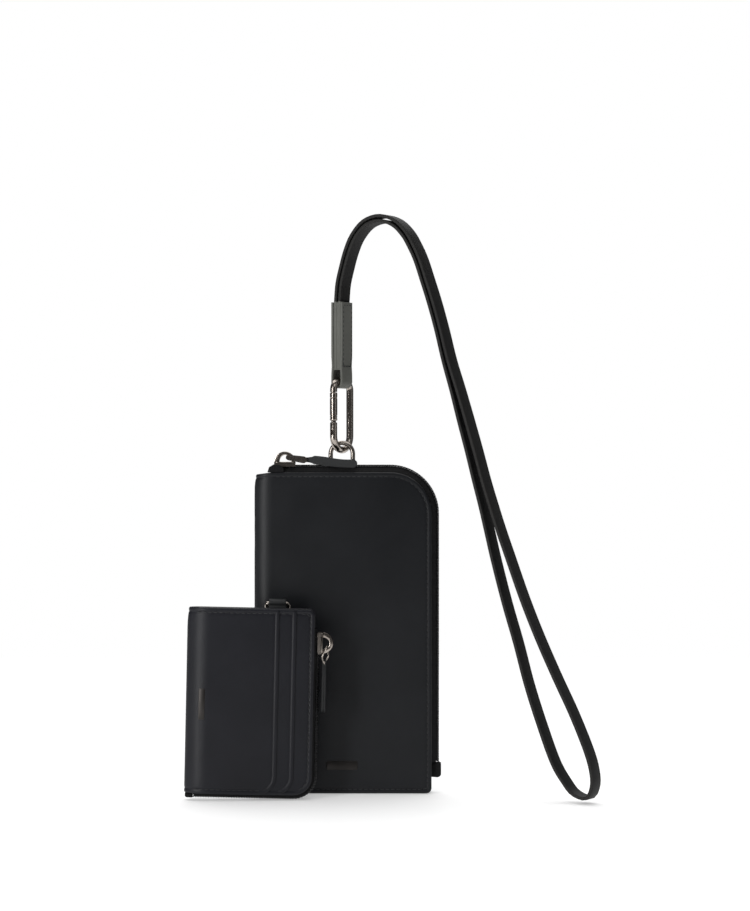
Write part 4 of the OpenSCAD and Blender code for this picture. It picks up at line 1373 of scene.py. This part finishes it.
def slip_pocket():
    """A flat cloth pocket with a doubled hem along its open top, sewn down at its sides and foot."""
    (left, near, low), (right, far, high) = pocket_low, pocket_high
    seam_w = 3
    sewn = (near + 0.5, far - 0.05, 0.1)
    body = upright(left, right, low, high - 6, near + 0.2, near + 0.75, 0.1)
    hem = upright(left, right, high - 7, high, near, near + 0.95, 0.25)
    foot = upright(left, right, low, low + seam_w, *sewn)
    sides = [upright(x, x + seam_w, low, high - 1, *sewn) for x in (left, right - seam_w)]
    return join_shapes([body, hem, foot] + sides)


add_piece("slip_pocket_cloth", slip_pocket(), "lining_fabric", "phone_pouch", ["pouch_inner_pocket"])
seam = [(pocket_low[0] + 1, pocket_high[2] - 5.5), (pocket_high[0] - 1, pocket_high[2] - 5.5)]
add_piece("slip_pocket_stitches", stitches(seam, lambda a, d, c: (a, pocket_low[1] + d + 0.05, c), 0.1),
          "stitch_thread", "phone_pouch")


# %% Linings of the card case
def card_lining(side):
    y = card_in_y - LINING_T - GLUE
    width, height = CARD_W - LINING_IN - CARD_FOLD, CARD_H - LINING_IN - 3
    return lining(width, height, 2, 4, lambda s, d, v: on_card(CARD_FOLD + s, side * (y + d), v + LINING_IN))


for side, word in ((-1, "front"), (1, "back")):
    add_piece("card_lining_" + word + "_cloth", card_lining(side), "lining_fabric", "card_case",
              ["card_lining_" + word])

# %% [markdown]
# ## Floor, lights and air
# A white floor runs back into a white surround. The broad overhead light lays a soft shadow in front of the
# object, the narrow one on the left draws the bright line down the folded edge, and two weak ones lift the
# strap and the front of the metal parts.

# %% Floor
FLOOR_Z = -0.0002     # a hair below the lowest pieces


def make_floor():
    tree, shader = start_finish("floor_white", 0.3, specular=0.12)
    haze = texture(tree, "Noise", 3, detail=1)
    color_between(tree, shader, haze.outputs["Fac"], (0.86, 0.86, 0.86), (0.88, 0.88, 0.88))
    shader.inputs["Emission Color"].default_value = (1, 1, 1, 1)
    shader.inputs["Emission Strength"].default_value = 0.33
    mesh = bpy.data.meshes.new("floor")
    side, front, back = 1.6, -0.5, 0.8
    corners = [(-side, front, 0), (side, front, 0), (side, back, 0), (-side, back, 0)]
    mesh.from_pydata(corners, [], [(0, 1, 2, 3)])
    mesh.materials.append(finishes["floor_white"])
    floor = bpy.data.objects.new("floor", mesh)
    bpy.context.scene.collection.objects.link(floor)
    floor.location.z = FLOOR_Z
    return floor


make_floor()

# %% Lights
def soft_light(name, place, aim, size, power):
    data = bpy.data.lights.new(name, "AREA")
    data.shape = "RECTANGLE"
    data.size, data.size_y = size
    data.energy = power
    light = bpy.data.objects.new(name, data)
    light.location = place
    direction = np.array(aim) - np.array(place)
    light.rotation_euler = Vector(direction).to_track_quat("-Z", "Y").to_euler()
    bpy.context.scene.collection.objects.link(light)
    return light


soft_light("light_left", (-0.72, -0.85, 0.3), (-0.04, 0, 0.12), (0.16, 1.0), 8.5)
soft_light("light_front", (0.2, -1.0, 1.1), (0, 0, 0.1), (0.8, 0.5), 2)
soft_light("light_right", (1.0, -0.5, 0.5), (0.05, 0, 0.15), (0.3, 1.0), 0.8)


def broad_light():
    """The big overhead light: a little behind the object, so that its soft shadow falls forward."""
    data = bpy.data.lights.new("light_above", "SUN")
    data.energy = 3.0
    data.angle = math.radians(80)
    light = bpy.data.objects.new("light_above", data)
    light.rotation_euler = (math.radians(-24), 0, 0)
    bpy.context.scene.collection.objects.link(light)


broad_light()


AIR_SEEN = 1.0        # how bright the surround looks to the camera
AIR_LIGHT = 0.09      # how much light it sends onto the object


def white_air():
    world = bpy.data.worlds.new("white_air")
    world.use_nodes = True
    bpy.context.scene.world = world
    tree = world.node_tree
    back = tree.nodes["Background"]
    back.inputs["Color"].default_value = (1, 1, 1, 1)
    seen = tree.nodes.new("ShaderNodeLightPath")
    strength = tree.nodes.new("ShaderNodeMapRange")
    strength.inputs["To Min"].default_value = AIR_LIGHT
    strength.inputs["To Max"].default_value = AIR_SEEN
    tree.links.new(seen.outputs["Is Camera Ray"], strength.inputs["Value"])
    tree.links.new(strength.outputs["Result"], back.inputs["Strength"])


white_air()
print("a white floor, four lights and a white surround")
